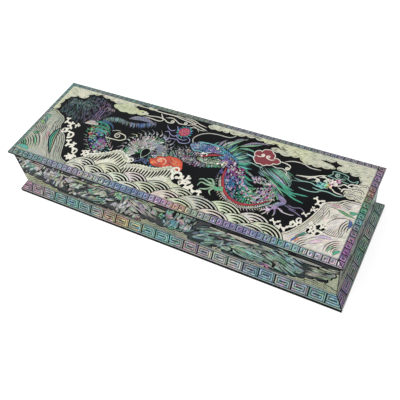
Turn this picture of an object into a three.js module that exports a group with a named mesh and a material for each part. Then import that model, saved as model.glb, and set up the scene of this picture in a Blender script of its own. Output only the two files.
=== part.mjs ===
// A long lacquered brush box with a lift-off lid, inlaid all over with thin shell.
// Millimetres, +Z up. X runs along the length and the front is at -Y. The origin is the middle of
// the underside, on the surface that the box stands on.
import * as THREE from "three";

// Walls, measured over their inlaid outer faces
const boxLength = 296.8;
const boxDepth = 93.8;
const wallThickness = 7;
const wallHeight = 44.4; // above the bottom board
const inlaySkin = 0.6; // lacquer ground and shell together, on every decorated face

// Base
const feltThickness = 0.8;
const feltMargin = 3.6; // how far the felt stops short of the plinth's edge
const bottomThickness = 4.2;
const plinthReach = 6.6; // how far the plinth stands out from the walls
const plinthEdge = 3.2; // height of its upright edge
const plinthRise = 7.4; // how far its sloping face climbs from there to the wall

// Lid
const lidSeatGap = 0.3; // between the lid and the walls that it rests on
const lidOverhang = 2.6;
const lidEdge = 1.7; // height of its upright edge
const lidRise = 1.8; // how far the sloping border climbs from there to the flat middle
const lidBorder = 5.8; // width of the sloping border
const rimDrop = 5; // how far the locating rim reaches down inside the walls
const rimThickness = 4;
const rimClearance = 0.6; // between the rim and the walls

// Velvet linings, each on a stiff card
const liningThickness = 1.5;
const liningClearance = 0.3;
const liningBelowRim = 1.2; // from the lid's rim down to the wall linings

// Heights above the surface that the box stands on, worked out from the sizes above
const bottomTop = feltThickness + bottomThickness;
const plinthTop = feltThickness + plinthEdge + plinthRise;
const floorTop = bottomTop + liningThickness;
const wallTop = bottomTop + wallHeight;
const lidUnder = wallTop + lidSeatGap;
const rimUnder = lidUnder - rimDrop;
const lidTop = lidUnder + lidEdge + lidRise;

// Offsets, measured outwards from the walls' outer faces, and so negative inside the box
const wallInner = -(inlaySkin + wallThickness);
const liningOuter = wallInner - liningClearance;
const rimOuter = wallInner - rimClearance;
const rimInner = rimOuter - rimThickness;
const lidPanelEdge = lidOverhang - lidBorder;

const lacquer = new THREE.MeshStandardMaterial({ color: 0x0b0c0e, roughness: 0.18, metalness: 0 });
const shell = new THREE.MeshStandardMaterial({ color: 0x8f9a90, roughness: 0.25, metalness: 0.1 });
const velvet = new THREE.MeshStandardMaterial({ color: 0x6d0f1c, roughness: 0.95, metalness: 0 });
const felt = new THREE.MeshStandardMaterial({ color: 0x16181a, roughness: 1, metalness: 0 });

// Each side turns (along, outward) into x and y by swapping and negating only, so that the faces
// of pieces that meet hold exactly the same numbers.
const sides = {
  front: { place: (along, outward) => [along, -outward], isLong: true },
  right: { place: (along, outward) => [outward, along], isLong: false },
  back: { place: (along, outward) => [-along, outward], isLong: true },
  left: { place: (along, outward) => [-outward, -along], isLong: false },
};

function named(name, geometry, material) {
  const mesh = new THREE.Mesh(geometry, material);
  mesh.name = name;
  return mesh;
}

// One side of a frame round the box, with its section given as [offset, height] corners and its
// ends cut at 45 degrees, so that four of them close into a ring.
function mitredRail(side, section) {
  const halfAlong = (side.isLong ? boxLength : boxDepth) / 2;
  const halfAcross = (side.isLong ? boxDepth : boxLength) / 2;
  const shape = new THREE.Shape(section.map(([offset, z]) => new THREE.Vector2(offset, z)));
  const geometry = new THREE.ExtrudeGeometry(shape, { depth: 1, steps: 1, bevelEnabled: false });
  const points = geometry.attributes.position;
  for (let i = 0; i < points.count; i++) {
    const offset = points.getX(i);
    const z = points.getY(i);
    const end = points.getZ(i) > 0.5 ? -1 : 1;
    const [x, y] = side.place(end * (halfAlong + offset), halfAcross + offset);
    points.setXYZ(i, x, y, z);
  }
  return geometry;
}

// Adds the four sides of a frame to a group, named after the side that each is on.
function addFrame(group, name, section, material) {
  for (const [sideName, side] of Object.entries(sides)) {
    group.add(named(`${name}_${sideName}`, mitredRail(side, section), material));
  }
}

// The section of an upright strip between two offsets and two heights
function strip(inner, outer, low, high) {
  return [
    [inner, low],
    [outer, low],
    [outer, high],
    [inner, high],
  ];
}

// The section of a moulding with a flat underside, an upright outer edge and a sloping top
function moulding(inner, outer, low, edgeTop, innerTop) {
  return [
    [inner, low],
    [outer, low],
    [outer, edgeTop],
    [inner, innerTop],
  ];
}

// The section of the skin under a sloping face that falls from innerTop to edgeTop
function slopingSkin(inner, outer, edgeTop, innerTop) {
  const upright = uprightSkin(outer - inner, innerTop - edgeTop);
  return [
    [inner, innerTop - upright],
    [outer, edgeTop - upright],
    [outer, edgeTop],
    [inner, innerTop],
  ];
}

// How tall the inlay's skin is, measured straight up, on a face that climbs by rise over run
function uprightSkin(run, rise) {
  return (inlaySkin * Math.hypot(run, rise)) / run;
}

// A flat plate that ends at the given offset all round
function plate(offset, low, high) {
  const length = boxLength + 2 * offset;
  const depth = boxDepth + 2 * offset;
  const geometry = new THREE.BoxGeometry(length, depth, high - low);
  geometry.translate(0, 0, (low + high) / 2);
  return geometry;
}

function makeBase() {
  const base = new THREE.Group();
  base.add(named("base_felt", plate(plinthReach - feltMargin, 0, feltThickness), felt));
  base.add(named("bottom_board", plate(0, feltThickness, bottomTop), lacquer));

  const skin = uprightSkin(plinthReach, plinthRise);
  const edgeTop = feltThickness + plinthEdge;
  const wood = moulding(0, plinthReach, feltThickness, edgeTop - skin, plinthTop - skin);
  addFrame(base, "plinth", wood, lacquer);
  addFrame(base, "plinth_inlay", slopingSkin(0, plinthReach, edgeTop, plinthTop), shell);
  return base;
}

function makeWalls() {
  const walls = new THREE.Group();
  addFrame(walls, "wall", strip(wallInner, -inlaySkin, bottomTop, wallTop), lacquer);
  addFrame(walls, "wall_inlay", strip(-inlaySkin, 0, bottomTop, wallTop), shell);
  return walls;
}

function makeLinings() {
  const linings = new THREE.Group();
  linings.add(named("floor_lining", plate(liningOuter, bottomTop, floorTop), velvet));
  const low = floorTop + liningClearance;
  const high = rimUnder - liningBelowRim;
  const card = strip(liningOuter - liningThickness, liningOuter, low, high);
  addFrame(linings, "wall_lining", card, velvet);
  return linings;
}

function makeLid() {
  const lid = new THREE.Group();
  const skin = uprightSkin(lidBorder, lidRise);
  const edgeTop = lidUnder + lidEdge;
  lid.add(named("lid_board", plate(lidPanelEdge, lidUnder, lidTop - inlaySkin), lacquer));
  lid.add(named("lid_picture_inlay", plate(lidPanelEdge, lidTop - inlaySkin, lidTop), shell));
  const wood = moulding(lidPanelEdge, lidOverhang, lidUnder, edgeTop - skin, lidTop - skin);
  addFrame(lid, "lid_rail", wood, lacquer);
  addFrame(lid, "lid_border_inlay", slopingSkin(lidPanelEdge, lidOverhang, edgeTop, lidTop), shell);

  addFrame(lid, "lid_rim", strip(rimInner, rimOuter, rimUnder, lidUnder), lacquer);
  const liningEdge = rimInner - liningClearance;
  lid.add(named("lid_lining", plate(liningEdge, lidUnder - liningThickness, lidUnder), velvet));
  return lid;
}

const brushBox = new THREE.Group();
brushBox.add(makeBase(), makeWalls(), makeLinings(), makeLid());

export default brushBox;
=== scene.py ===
import math
import random

import bpy
import numpy as np
from mathutils import Matrix, Vector
from mathutils.geometry import delaunay_2d_cdt


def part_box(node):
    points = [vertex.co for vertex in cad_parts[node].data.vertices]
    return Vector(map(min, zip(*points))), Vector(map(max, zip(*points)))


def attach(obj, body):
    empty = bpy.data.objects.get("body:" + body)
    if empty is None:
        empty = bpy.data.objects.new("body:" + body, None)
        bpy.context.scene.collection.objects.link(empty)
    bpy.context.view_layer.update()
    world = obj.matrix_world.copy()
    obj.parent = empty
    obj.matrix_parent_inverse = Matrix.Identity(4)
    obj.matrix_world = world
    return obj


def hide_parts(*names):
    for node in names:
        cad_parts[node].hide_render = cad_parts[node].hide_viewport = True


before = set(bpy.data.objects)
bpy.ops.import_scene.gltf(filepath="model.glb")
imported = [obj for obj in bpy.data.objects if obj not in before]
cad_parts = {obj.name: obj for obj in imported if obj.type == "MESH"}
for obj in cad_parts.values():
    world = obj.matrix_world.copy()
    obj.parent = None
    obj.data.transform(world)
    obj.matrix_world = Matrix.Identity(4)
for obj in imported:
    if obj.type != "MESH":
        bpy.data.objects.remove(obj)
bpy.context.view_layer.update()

MM = 0.001  # a millimetre in the scene's metres
RELIEF = 0.08  # how far the shell stands out of the lacquer, in millimetres
ROOT = 0.03  # how far each piece of shell reaches down into the lacquer
LACQUER_COLOUR = (0.0032, 0.0036, 0.0044)
VELVET_COLOUR = (0.17, 0.012, 0.022)
FELT_COLOUR = (0.018, 0.03, 0.022)
FELT_MARGIN = 0.25  # how far the felt's edge wanders in, in millimetres
# The seeds of all that is random
LID_SEED, FRET_SEED, WALL_SEED, LINING_SEED, FELT_SEED = 7, 11, 30, 50, 70

# The camera stands where the photograph was taken from, and is tilted as it was
CAMERA_AZIMUTH = 36.35
CAMERA_ELEVATION = 50.06
CAMERA_ROLL = -10.76
CAMERA_DISTANCE = 0.4886
CAMERA_TARGET = Vector((0.0084, 0.0, 0.0023))
CAMERA_LENS = 49.93


def add_camera():
    azimuth, elevation = math.radians(CAMERA_AZIMUTH), math.radians(CAMERA_ELEVATION)
    back = Vector((
        math.sin(azimuth) * math.cos(elevation),
        -math.cos(azimuth) * math.cos(elevation),
        math.sin(elevation),
    ))
    right = Vector((math.cos(azimuth), math.sin(azimuth), 0))
    upright = Matrix((right, back.cross(right), back)).transposed()
    camera = add_object("camera", bpy.data.cameras.new("camera"))
    camera.data.lens = CAMERA_LENS
    camera.data.sensor_width = 36
    camera.data.clip_start = 0.01
    rotation = (upright @ Matrix.Rotation(math.radians(CAMERA_ROLL), 3, "Z")).to_4x4()
    camera.matrix_world = Matrix.Translation(CAMERA_TARGET + back * CAMERA_DISTANCE) @ rotation
    bpy.context.scene.camera = camera


def add_object(name, data):
    thing = bpy.data.objects.new(name, data)
    bpy.context.scene.collection.objects.link(thing)
    return thing


def add_area_light(name, place, target, size, watts):
    light = bpy.data.lights.new(name, "AREA")
    light.shape = "RECTANGLE"
    light.size, light.size_y = size
    light.energy = watts
    lamp = add_object(name, light)
    lamp.location = place
    lamp.rotation_euler = (Vector(target) - Vector(place)).to_track_quat("-Z", "Y").to_euler()


def seen_directly(nodes, links):
    """1 for what the camera sees itself, in a mirror or through glass, and 0 for light on things"""
    path = nodes.new("ShaderNodeLightPath")
    both = nodes.new("ShaderNodeMath")
    both.operation = "MAXIMUM"
    links.new(path.outputs["Is Camera Ray"], both.inputs[0])
    links.new(path.outputs["Is Glossy Ray"], both.inputs[1])
    every = nodes.new("ShaderNodeMath")
    every.operation = "MAXIMUM"
    links.new(both.outputs[0], every.inputs[0])
    links.new(path.outputs["Is Transmission Ray"], every.inputs[1])
    return every.outputs[0]


WORLD_LIGHT = 0.5


def set_world():
    """White where it is seen, and a plain even light on the object"""
    world = bpy.data.worlds.new("studio")
    world.use_nodes = True
    bpy.context.scene.world = world
    nodes, links = world.node_tree.nodes, world.node_tree.links
    background = nodes["Background"]
    background.inputs["Color"].default_value = (1, 1, 1, 1)
    strength = nodes.new("ShaderNodeMapRange")
    links.new(seen_directly(nodes, links), strength.inputs["Value"])
    strength.inputs["To Min"].default_value = WORLD_LIGHT
    strength.inputs["To Max"].default_value = 1.0
    links.new(strength.outputs["Result"], background.inputs["Strength"])


FLOOR_SIZE = 6.0
FLOOR_COLOUR = (0.4, 0.4, 0.4, 1)
FLOOR_GLOW = 0.8  # added where the floor is seen, so that it is white and keeps a soft shadow


def add_floor():
    mesh = bpy.data.meshes.new("floor")
    half = FLOOR_SIZE / 2
    mesh.from_pydata(
        [(-half, -half, 0), (half, -half, 0), (half, half, 0), (-half, half, 0)], [], [(0, 1, 2, 3)]
    )
    floor = add_object("floor", mesh)
    material = bpy.data.materials.new("floor")
    material.use_nodes = True
    nodes, links = material.node_tree.nodes, material.node_tree.links
    nodes.clear()
    output = nodes.new("ShaderNodeOutputMaterial")
    matte = nodes.new("ShaderNodeBsdfDiffuse")
    matte.inputs["Color"].default_value = FLOOR_COLOUR
    glow = nodes.new("ShaderNodeEmission")
    strength = nodes.new("ShaderNodeMapRange")
    links.new(seen_directly(nodes, links), strength.inputs["Value"])
    strength.inputs["To Min"].default_value = 0.0
    strength.inputs["To Max"].default_value = FLOOR_GLOW
    links.new(strength.outputs["Result"], glow.inputs["Strength"])
    both = nodes.new("ShaderNodeAddShader")
    links.new(matte.outputs[0], both.inputs[0])
    links.new(glow.outputs[0], both.inputs[1])
    links.new(both.outputs[0], output.inputs["Surface"])
    mesh.materials.append(material)


add_camera()
set_world()
add_floor()
BOX_MIDDLE = (0, 0, 0.03)
add_area_light("key", place=(-0.5, -0.35, 1.1), target=BOX_MIDDLE, size=(0.9, 0.9), watts=11)
add_area_light("fill", place=(0.9, -0.9, 0.7), target=BOX_MIDDLE, size=(0.8, 0.8), watts=3.5)
bpy.context.scene.view_settings.view_transform = "Standard"

# Colours of the shell, as they look on a screen
CREAM = (0.86, 0.85, 0.76)
IVORY = (0.93, 0.91, 0.84)
LIME = (0.76, 0.79, 0.60)
MOSS = (0.62, 0.67, 0.50)
GREY = (0.62, 0.61, 0.61)
SLATE = (0.40, 0.43, 0.45)
ROSE = (0.86, 0.60, 0.68)
PINK = (0.92, 0.74, 0.84)
MAGENTA = (0.74, 0.34, 0.60)
VIOLET = (0.53, 0.38, 0.68)
BLUE = (0.28, 0.42, 0.68)
CYAN = (0.36, 0.68, 0.76)
TEAL = (0.24, 0.56, 0.52)
GREEN = (0.30, 0.66, 0.44)
GOLD = (0.90, 0.74, 0.44)
CRIMSON = (0.60, 0.09, 0.15)
WINE = (0.48, 0.07, 0.15)
ORANGE = (0.80, 0.27, 0.11)


class Sheet:
    """Flat shapes laid over one another, in millimetres. A later one covers the earlier ones."""

    def __init__(self, seed):
        self.random = random.Random(seed)
        self.loops = []
        self.inks = []

    def lay(self, loop, group, colour, vary=0.06):
        """A piece of shell, its colour varied a little, as no two pieces are alike."""
        shade = 1 + self.random.uniform(-vary, vary)
        tinted = [min(1, c * shade * (1 + self.random.uniform(-vary, vary) / 2)) for c in colour]
        self.loops.append(np.asarray(loop, float))
        self.inks.append((group, tinted))

    def bare(self, loop):
        """A gap that shows the lacquer."""
        self.loops.append(np.asarray(loop, float))
        self.inks.append(None)


def arc(centre, radius, start, end, steps=12):
    angles = np.radians(np.linspace(start, end, steps))
    x = centre[0] + radius * np.cos(angles)
    y = centre[1] + radius * np.sin(angles)
    return np.column_stack((x, y))


def disc(centre, radius, steps=16):
    return arc(centre, radius, 0, 360 * (1 - 1 / steps), steps)


def spiral(centre, outer, inner, start, turns, steps=26):
    angles = np.radians(start) + np.linspace(0, 2 * math.pi * turns, steps)
    radii = np.linspace(outer, inner, steps)
    x = centre[0] + radii * np.cos(angles)
    y = centre[1] + radii * np.sin(angles)
    return np.column_stack((x, y))


def smooth(points, steps=8):
    """A smooth curve through the points"""
    points = np.asarray(points, float)
    padded = np.vstack((2 * points[0] - points[1], points, 2 * points[-1] - points[-2]))
    curve = []
    for before, a, b, after in zip(padded, padded[1:], padded[2:], padded[3:]):
        for t in np.arange(steps) / steps:
            curve.append(
                a
                + 0.5 * t * (b - before)
                + t * t * (before - 2.5 * a + 2 * b - 0.5 * after)
                + t * t * t * (1.5 * (a - b) + 0.5 * (after - before))
            )
    return np.vstack((curve, points[-1]))


def unit(turn):
    """A step of length one in a direction, in radians"""
    return np.array([math.cos(turn), math.sin(turn)])


def aim(degrees):
    """The same, in degrees"""
    return unit(math.radians(degrees))


def left_of(step):
    """A step turned left by a right angle"""
    return np.array([-step[1], step[0]])


def spread_out(values, shares):
    """Values given at even steps from 0 to 1, read at other shares"""
    return np.interp(shares, np.linspace(0, 1, len(values)), values)


def directions(path):
    """At each point of a path, the step along it and the step to its left, both of length one"""
    along = np.gradient(np.asarray(path, float), axis=0)
    along /= np.linalg.norm(along, axis=1)[:, None] + 1e-12
    return along, np.column_stack((-along[:, 1], along[:, 0]))


def ribbon(path, widths):
    """The outline of a strip along a path, of one width or of one width a point"""
    path = np.asarray(path, float)
    across = directions(path)[1] * (np.broadcast_to(widths, len(path)) / 2)[:, None]
    return np.vstack((path + across, (path - across)[::-1]))


def taper(count, widest, where=0.3, tip=0.04):
    """Widths that swell to the widest at one place and thin out to both ends"""
    t = np.linspace(0, 1, count)
    rise = np.sin(np.clip(t / where, 0, 1) * math.pi / 2)
    fall = np.cos(np.clip((t - where) / (1 - where), 0, 1) * math.pi / 2)
    return np.maximum(widest * np.minimum(rise, fall), tip)


def fade(count, widest, tip=0.04):
    """Widths that thin out from the widest at the start to a tip at the end"""
    return np.linspace(widest, tip, count)


def at(path, share):
    """The point a share of the way along a path"""
    path = np.asarray(path, float)
    steps = np.linalg.norm(np.diff(path, axis=0), axis=1)
    length = np.concatenate(([0], np.cumsum(steps)))
    place = share * length[-1]
    return np.array([np.interp(place, length, path[:, 0]), np.interp(place, length, path[:, 1])])


def evenly(path, count):
    """Points at even distances along a path"""
    return np.array([at(path, share) for share in np.linspace(0, 1, count)])


def mix(a, b, t):
    return tuple(x + (y - x) * t for x, y in zip(a, b))


def blend_stops(stops, t):
    """The colour at a share t of the way through a row of colours"""
    place = min(max(t, 0), 0.9999) * (len(stops) - 1)
    first = int(place)
    return mix(stops[first], stops[first + 1], place - first)


def lobes(path, bulge=0.42, steps=7):
    """Joins the points of a path with arcs that swell to its left, as the edge of a cloud does"""
    edge = []
    for a, b in zip(path, path[1:]):
        a = np.asarray(a, float)
        chord = np.asarray(b, float) - a
        side = left_of(chord)
        for t in np.arange(steps) / steps:
            edge.append(a + chord * t + side * bulge * math.sin(math.pi * t) ** 0.8)
    edge.append(np.asarray(path[-1], float))
    return np.array(edge)


def thin_line(sheet, path, width=0.32):
    """A gap that thins out to both ends"""
    sheet.bare(ribbon(path, taper(len(path), width, 0.5)))


def set_strip(sheet, path, width, margin, group, colour, vary, where=0.5):
    """A strip that thins out to both ends, with a gap round it"""
    sheet.bare(ribbon(path, taper(len(path), width + margin, where)))
    sheet.lay(ribbon(path, taper(len(path), width, where)), group, colour, vary)


def shell_line(sheet, path, widths, group, colour):
    """A strip of shell in short lengths, so that it may curl up tightly"""
    path = np.asarray(path, float)
    across = directions(path)[1] * (np.broadcast_to(widths, len(path)) / 2)[:, None]
    left, right = path + across, path - across
    stride = 3
    for i in range(0, len(path) - 1, stride):
        j = min(i + stride, len(path) - 1)
        loop = np.vstack((left[i : j + 1], right[i : j + 1][::-1]))
        sheet.lay(loop, group, colour, 0.04)


# Clouds


def engrave_lobes(sheet, path, inset, bulge=0.42, width=0.26):
    """Fine lines inside a cloud that echo its lobes"""
    for a, b in zip(path, path[1:]):
        a, b = np.asarray(a, float), np.asarray(b, float)
        chord = b - a
        side = left_of(chord)
        if np.linalg.norm(chord) < 3:
            continue
        middle = (a + b) / 2
        line = []
        for t in np.linspace(0.06, 0.94, 9):
            edge = a + chord * t + side * bulge * math.sin(math.pi * t) ** 0.8
            line.append(edge + (middle - side * 0.35 - edge) * inset)
        thin_line(sheet, line, width)


# Water


def swell(sheet, x, top, half, height, stripes=5, colour=CREAM):
    """A swell of the sea: plain on its back, with bold dark stripes down its right side"""
    y = top - height

    def oval(inset, start, stop, steps):
        angles = np.radians(np.linspace(start, stop, steps))
        across = (half - inset * 1.06) * np.cos(angles)
        return np.column_stack((x + across, y + (height - inset) * np.sin(angles)))

    sheet.bare(oval(-0.7, -12, 192, 30))
    sheet.lay(oval(0, -12, 192, 30), "waves", colour, 0.05)
    for k in range(stripes):
        line = oval(1.8 + 2.45 * k, -6, 122 - 7 * k, 18)
        widths = np.interp(np.linspace(0, 1, len(line)), (0, 0.55, 0.85, 1), (1.6, 1.6, 1.3, 0.12))
        sheet.bare(ribbon(line, widths))
    for k in range(3):
        thin_line(sheet, oval(0.9 + 1.7 * k, 112 + 7 * k, 170, 10), 0.3)


FOAM = mix(IVORY, GREY, 0.22)


def knob_branch(sheet, start, end, size, colour=FOAM):
    stem = smooth([start, (np.asarray(start) + np.asarray(end)) / 2, end], 3)
    sheet.lay(ribbon(stem, np.linspace(size * 0.28, size * 0.2, len(stem))), "foam", colour, 0.02)
    sheet.lay(disc(end, size * 0.21, 9), "foam", colour, 0.02)


def sprig(sheet, root, angle, size):
    """A splash of foam, like a sprig of coral: knobbed branches on a short stem"""
    root = np.asarray(root, float)

    def away(origin, turn, reach):
        return origin + reach * size * aim(turn)

    fork = away(root, angle, 0.45)
    knob_branch(sheet, root, fork, size * 1.15)
    forks = ((-62, 0.55), (44, 0.62))
    if sheet.random.random() >= 0.55:
        forks = ((-72, 0.5), (-8, 0.66), (56, 0.56))
    for turn, reach in forks:
        swing = sheet.random.uniform(-12, 12)
        end = away(fork, angle + turn + swing, reach)
        knob_branch(sheet, fork, end, size)
        knob_branch(sheet, end, away(end, angle + turn * 1.7 + 30, 0.3), size * 0.8)
        if turn > -50:
            knob_branch(sheet, end, away(end, angle + turn - 62, 0.26), size * 0.75)


def hook(sheet, root, angle, size, way=1):
    """Foam that curls over on itself"""
    heart = np.asarray(root, float) + size * 0.55 * aim(angle)
    coil = spiral(heart, size * 0.55, size * 0.2, angle + 180, -0.95 * way, 20)
    widths = np.linspace(size * 0.3, size * 0.15, len(coil))
    shell_line(sheet, coil, widths, "foam", FOAM)
    sheet.lay(disc(coil[-1], size * 0.17, 9), "foam", FOAM, 0.02)


def foam_line(sheet, places):
    """Foam at each (x, y, angle, size). Every third one is a hook, which curls the other way for a negative
    size.
    """
    for number, (x, y, angle, size) in enumerate(places):
        size = size * 0.9
        if number % 3 == 2:
            hook(sheet, (x, y), angle, abs(size), 1 if size > 0 else -1)
        else:
            sprig(sheet, (x, y), angle, abs(size))


def comb_crest(sheet, path, floor, slits, lean, colour):
    """A breaking crest: a knobbed light rim over a comb of dark slits, down to a floor height"""
    path = np.asarray(path, float)
    foot = np.column_stack((path[:, 0], np.full(len(path), floor)))
    sheet.bare(np.vstack((path + (0, 0.8), foot[::-1])))
    edge = lobes(evenly(path, 19)[::-1], -0.3, 5)[::-1]
    sheet.lay(np.vstack((edge, foot[::-1])), "waves", colour, 0.02)
    shares = np.linspace(0.02, 0.98, slits)
    for number, share in enumerate(shares):
        top = at(path, share) - (0, 2.9 + 0.6 * (number % 2))
        reach = max(2.5, min(8.5, top[1] - floor - 0.6))
        end = top + np.array([lean * reach, -reach])
        slit = smooth([top, (top + end) / 2 + (0.3, 0), end], 4)
        widths = np.interp(np.linspace(0, 1, len(slit)), (0, 0.15, 0.7, 1), (0.3, 1.5, 1.4, 0.25))
        sheet.bare(ribbon(slit, widths))
    for depth, width in ((1.15, 0.26), (2.3, 0.34)):
        sheet.bare(ribbon(path[2:-2] - (0, depth), width))
    for k in range(10):
        knot = at(path, (k + 0.5) / 10) - (0, 1.7)
        sheet.bare(disc(knot, 0.34, 7))


# Rocks


def rock_strokes(sheet, outline, count, lean, colours, group="rocks", length=(1.2, 4.2), width=0.42):
    """Fine slanting strokes of shell that fill an outline. Without colours they are dark gaps."""
    outline = np.asarray(outline, float)
    low, high = outline.min(0), outline.max(0)
    made = 0
    for _ in range(count * 6):
        if made == count:
            break
        x = sheet.random.uniform(low[0], high[0])
        y = sheet.random.uniform(low[1], high[1])
        if not inside(outline, x, y):
            continue
        made += 1
        reach = sheet.random.uniform(*length)
        along = aim(lean + sheet.random.uniform(-9, 9))
        step = reach * along
        side = left_of(along) * width * sheet.random.uniform(0.7, 1.3)
        start = np.array([x, y])
        loop = [start, start + step * 0.45 + side * 0.5, start + step, start + step * 0.5 - side * 0.5]
        if colours is None:
            sheet.bare(loop)
            continue
        colour = blend_stops(colours, (x - low[0]) / (high[0] - low[0]) + sheet.random.uniform(-0.12, 0.12))
        sheet.lay(loop, group, colour, 0.28)


def inside(outline, x, y):
    """Whether a point is inside a closed outline"""
    within = False
    for (xa, ya), (xb, yb) in zip(outline, np.roll(outline, -1, 0)):
        if (ya > y) != (yb > y) and x < xa + (y - ya) / (yb - ya) * (xb - xa):
            within = not within
    return within


# The dragon


def scale_row_body(sheet, path, half_widths, palette, across=6, pitch=1.75, group="dragon"):
    """A long scaly body. Each scale is a rounded piece of shell that laps over the one behind."""
    path = np.asarray(path, float)
    steps = np.linalg.norm(np.diff(path, axis=0), axis=1).sum()
    rows = max(3, int(steps / pitch))
    centres = evenly(path, rows)
    along, side = directions(centres)
    halves = spread_out(half_widths, np.linspace(0, 1, rows))
    sheet.bare(ribbon(centres, 2 * halves + 1.3))
    for i in range(rows - 1, -1, -1):
        half = halves[i]
        offset = 0.5 if i % 2 else 0.0
        colour = blend_stops(palette, i / rows)
        width = 2 * half / across
        for k in range(-1, across + 1):
            t = (k + 0.5 + offset) * width - half
            if abs(t) > half - 0.28 * width:
                continue
            base = centres[i] + side[i] * t
            arch = np.linspace(-90, 90, 7)
            loop = []
            for a in np.radians(arch):
                point = base + along[i] * pitch * 1.05 * math.cos(a) + side[i] * width * 0.46 * math.sin(a)
                loop.append(point)
            gap = [base + (p - base) * 1.22 for p in loop]
            sheet.bare(gap)
            sheet.lay(loop, group, colour, 0.2)


def spines(sheet, path, offsets, length, side, palette, spacing=2.7, group="dragon", lean=0.45):
    """Pointed fins along one edge of a body, all swept back"""
    path = np.asarray(path, float)
    total = np.linalg.norm(np.diff(path, axis=0), axis=1).sum()
    count = int(total / spacing)
    centres = evenly(path, count)
    along, across = directions(centres)
    halves = spread_out(offsets, np.linspace(0, 1, count))
    for i in range(count):
        out = across[i] * side
        root = centres[i] + out * (halves[i] - 0.2)
        tall = length * (1.0 if i % 2 else 0.7)
        tip = root + out * tall + along[i] * tall * lean
        bend = root + out * tall * 0.45 + along[i] * tall * 0.02
        half = along[i] * spacing * 0.36
        loop = [root - half, (root - half + bend) / 2 + out * 0.2, bend, tip, bend + half * 0.9, root + half]
        sheet.lay(loop, group, blend_stops(palette, i / count), 0.14)


def lock(sheet, points, width, colour, group="dragon", line=True):
    """A tapering lock of hair or flame with a dark line down its middle"""
    path = smooth(points, 6)
    widths = taper(len(path), width, 0.3)
    sheet.bare(ribbon(path, widths + 0.7))
    sheet.lay(ribbon(path, widths), group, colour, 0.1)
    if line and width > 1.2:
        middle = path[2 : int(len(path) * 0.75)]
        thin_line(sheet, middle, 0.22)


def claw(sheet, palm, angle, size, colour, tip_colour, toes=4, spread=150):
    """A foot with curved toes that end in pale claws"""
    palm = np.asarray(palm, float)
    for k in range(toes):
        out = aim(angle + spread * (k / (toes - 1) - 0.5))
        side = left_of(out) * (1 if k < toes / 2 else -1)
        knuckle = palm + out * size * 0.62
        end = palm + out * size * 1.05 + side * size * 0.16
        tip = palm + out * size * 1.36 + side * size * 0.5
        toe = smooth([palm, knuckle, end], 4)
        sheet.bare(ribbon(toe, size * 0.36))
        sheet.lay(ribbon(toe, np.linspace(size * 0.26, size * 0.2, len(toe))), "dragon", colour, 0.1)
        nail = smooth([end, (end + tip) / 2 + out * size * 0.08, tip], 4)
        sheet.lay(ribbon(nail, fade(len(nail), size * 0.16)), "dragon", tip_colour, 0.04)
    sheet.lay(disc(palm, size * 0.34, 12), "dragon", colour, 0.1)


def hair(sheet, roots, ends, count, bend, width, palette, group="dragon", vary=0.14):
    """Strands that run from one line to another, each with a thin dark gap beside it"""
    for k in range(count):
        share = (k + 0.5) / count
        start = at(roots, share)
        end = at(ends, share) + np.array([sheet.random.uniform(-1, 1), sheet.random.uniform(-0.8, 0.8)])
        step = end - start
        side = left_of(step) / (np.linalg.norm(step) + 1e-9)
        middle = start + step * 0.5 + side * bend
        path = smooth([start, middle, end], 5)
        widths = taper(len(path), width * sheet.random.uniform(0.8, 1.2), 0.35)
        sheet.bare(ribbon(path, widths + 0.5))
        sheet.lay(ribbon(path, widths), group, blend_stops(palette, share), vary)


def flecks(sheet, path, halves, count, palette, size=(0.5, 1.3), group="dragon", lean=0.0):
    """Small slivers of bright shell scattered along a body, or of bare lacquer without a palette"""
    path = np.asarray(path, float)
    along, side = directions(path)
    for _ in range(count):
        share = sheet.random.random()
        i = min(int(share * len(path)), len(path) - 1)
        half = spread_out(halves, share)
        spot = path[i] + side[i] * half * sheet.random.uniform(-0.95, 0.95)
        turn = math.atan2(along[i][1], along[i][0]) + math.radians(lean + sheet.random.uniform(-25, 25))
        reach = sheet.random.uniform(*size) * 1.6
        out = unit(turn) * reach
        wide = left_of(out) * 0.24
        loop = [spot - out * 0.5, spot + wide, spot + out * 0.5, spot - wide]
        if palette is None:
            sheet.bare(loop)
        else:
            sheet.lay(loop, group, blend_stops(palette, sheet.random.random()), 0.1)


def line_curl(sheet, points, width, colour, curl=None, group="lines"):
    """A light line of one even width, with a curl at its end: (radius, way)"""
    path = smooth(points, 6)
    widths = np.full(len(path), width)
    widths[:4] = np.linspace(width * 0.3, width, 4)
    if curl is None:
        widths[-4:] = np.linspace(width, width * 0.3, 4)
    shell_line(sheet, path, widths, group, colour)
    if curl is not None:
        radius, way = curl
        heading = path[-1] - path[-2]
        heading = heading / np.linalg.norm(heading)
        heart = path[-1] + way * radius * left_of(heading)
        start = math.degrees(math.atan2(*(path[-1] - heart)[::-1]))
        coil = spiral(heart, radius, radius * 0.3, start, way * 1.25, 22)
        shell_line(sheet, coil, np.linspace(width, width * 0.8, len(coil)), group, colour)
        sheet.lay(disc(coil[-1], width * 0.7, 8), group, colour, 0.02)


# The picture on the lid

LID_HALF = (145.2, 43.7)  # half length and half depth of the flat middle
INK = (0.10, 0.11, 0.12)  # the darkest shell, hardly lighter than the lacquer


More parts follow.
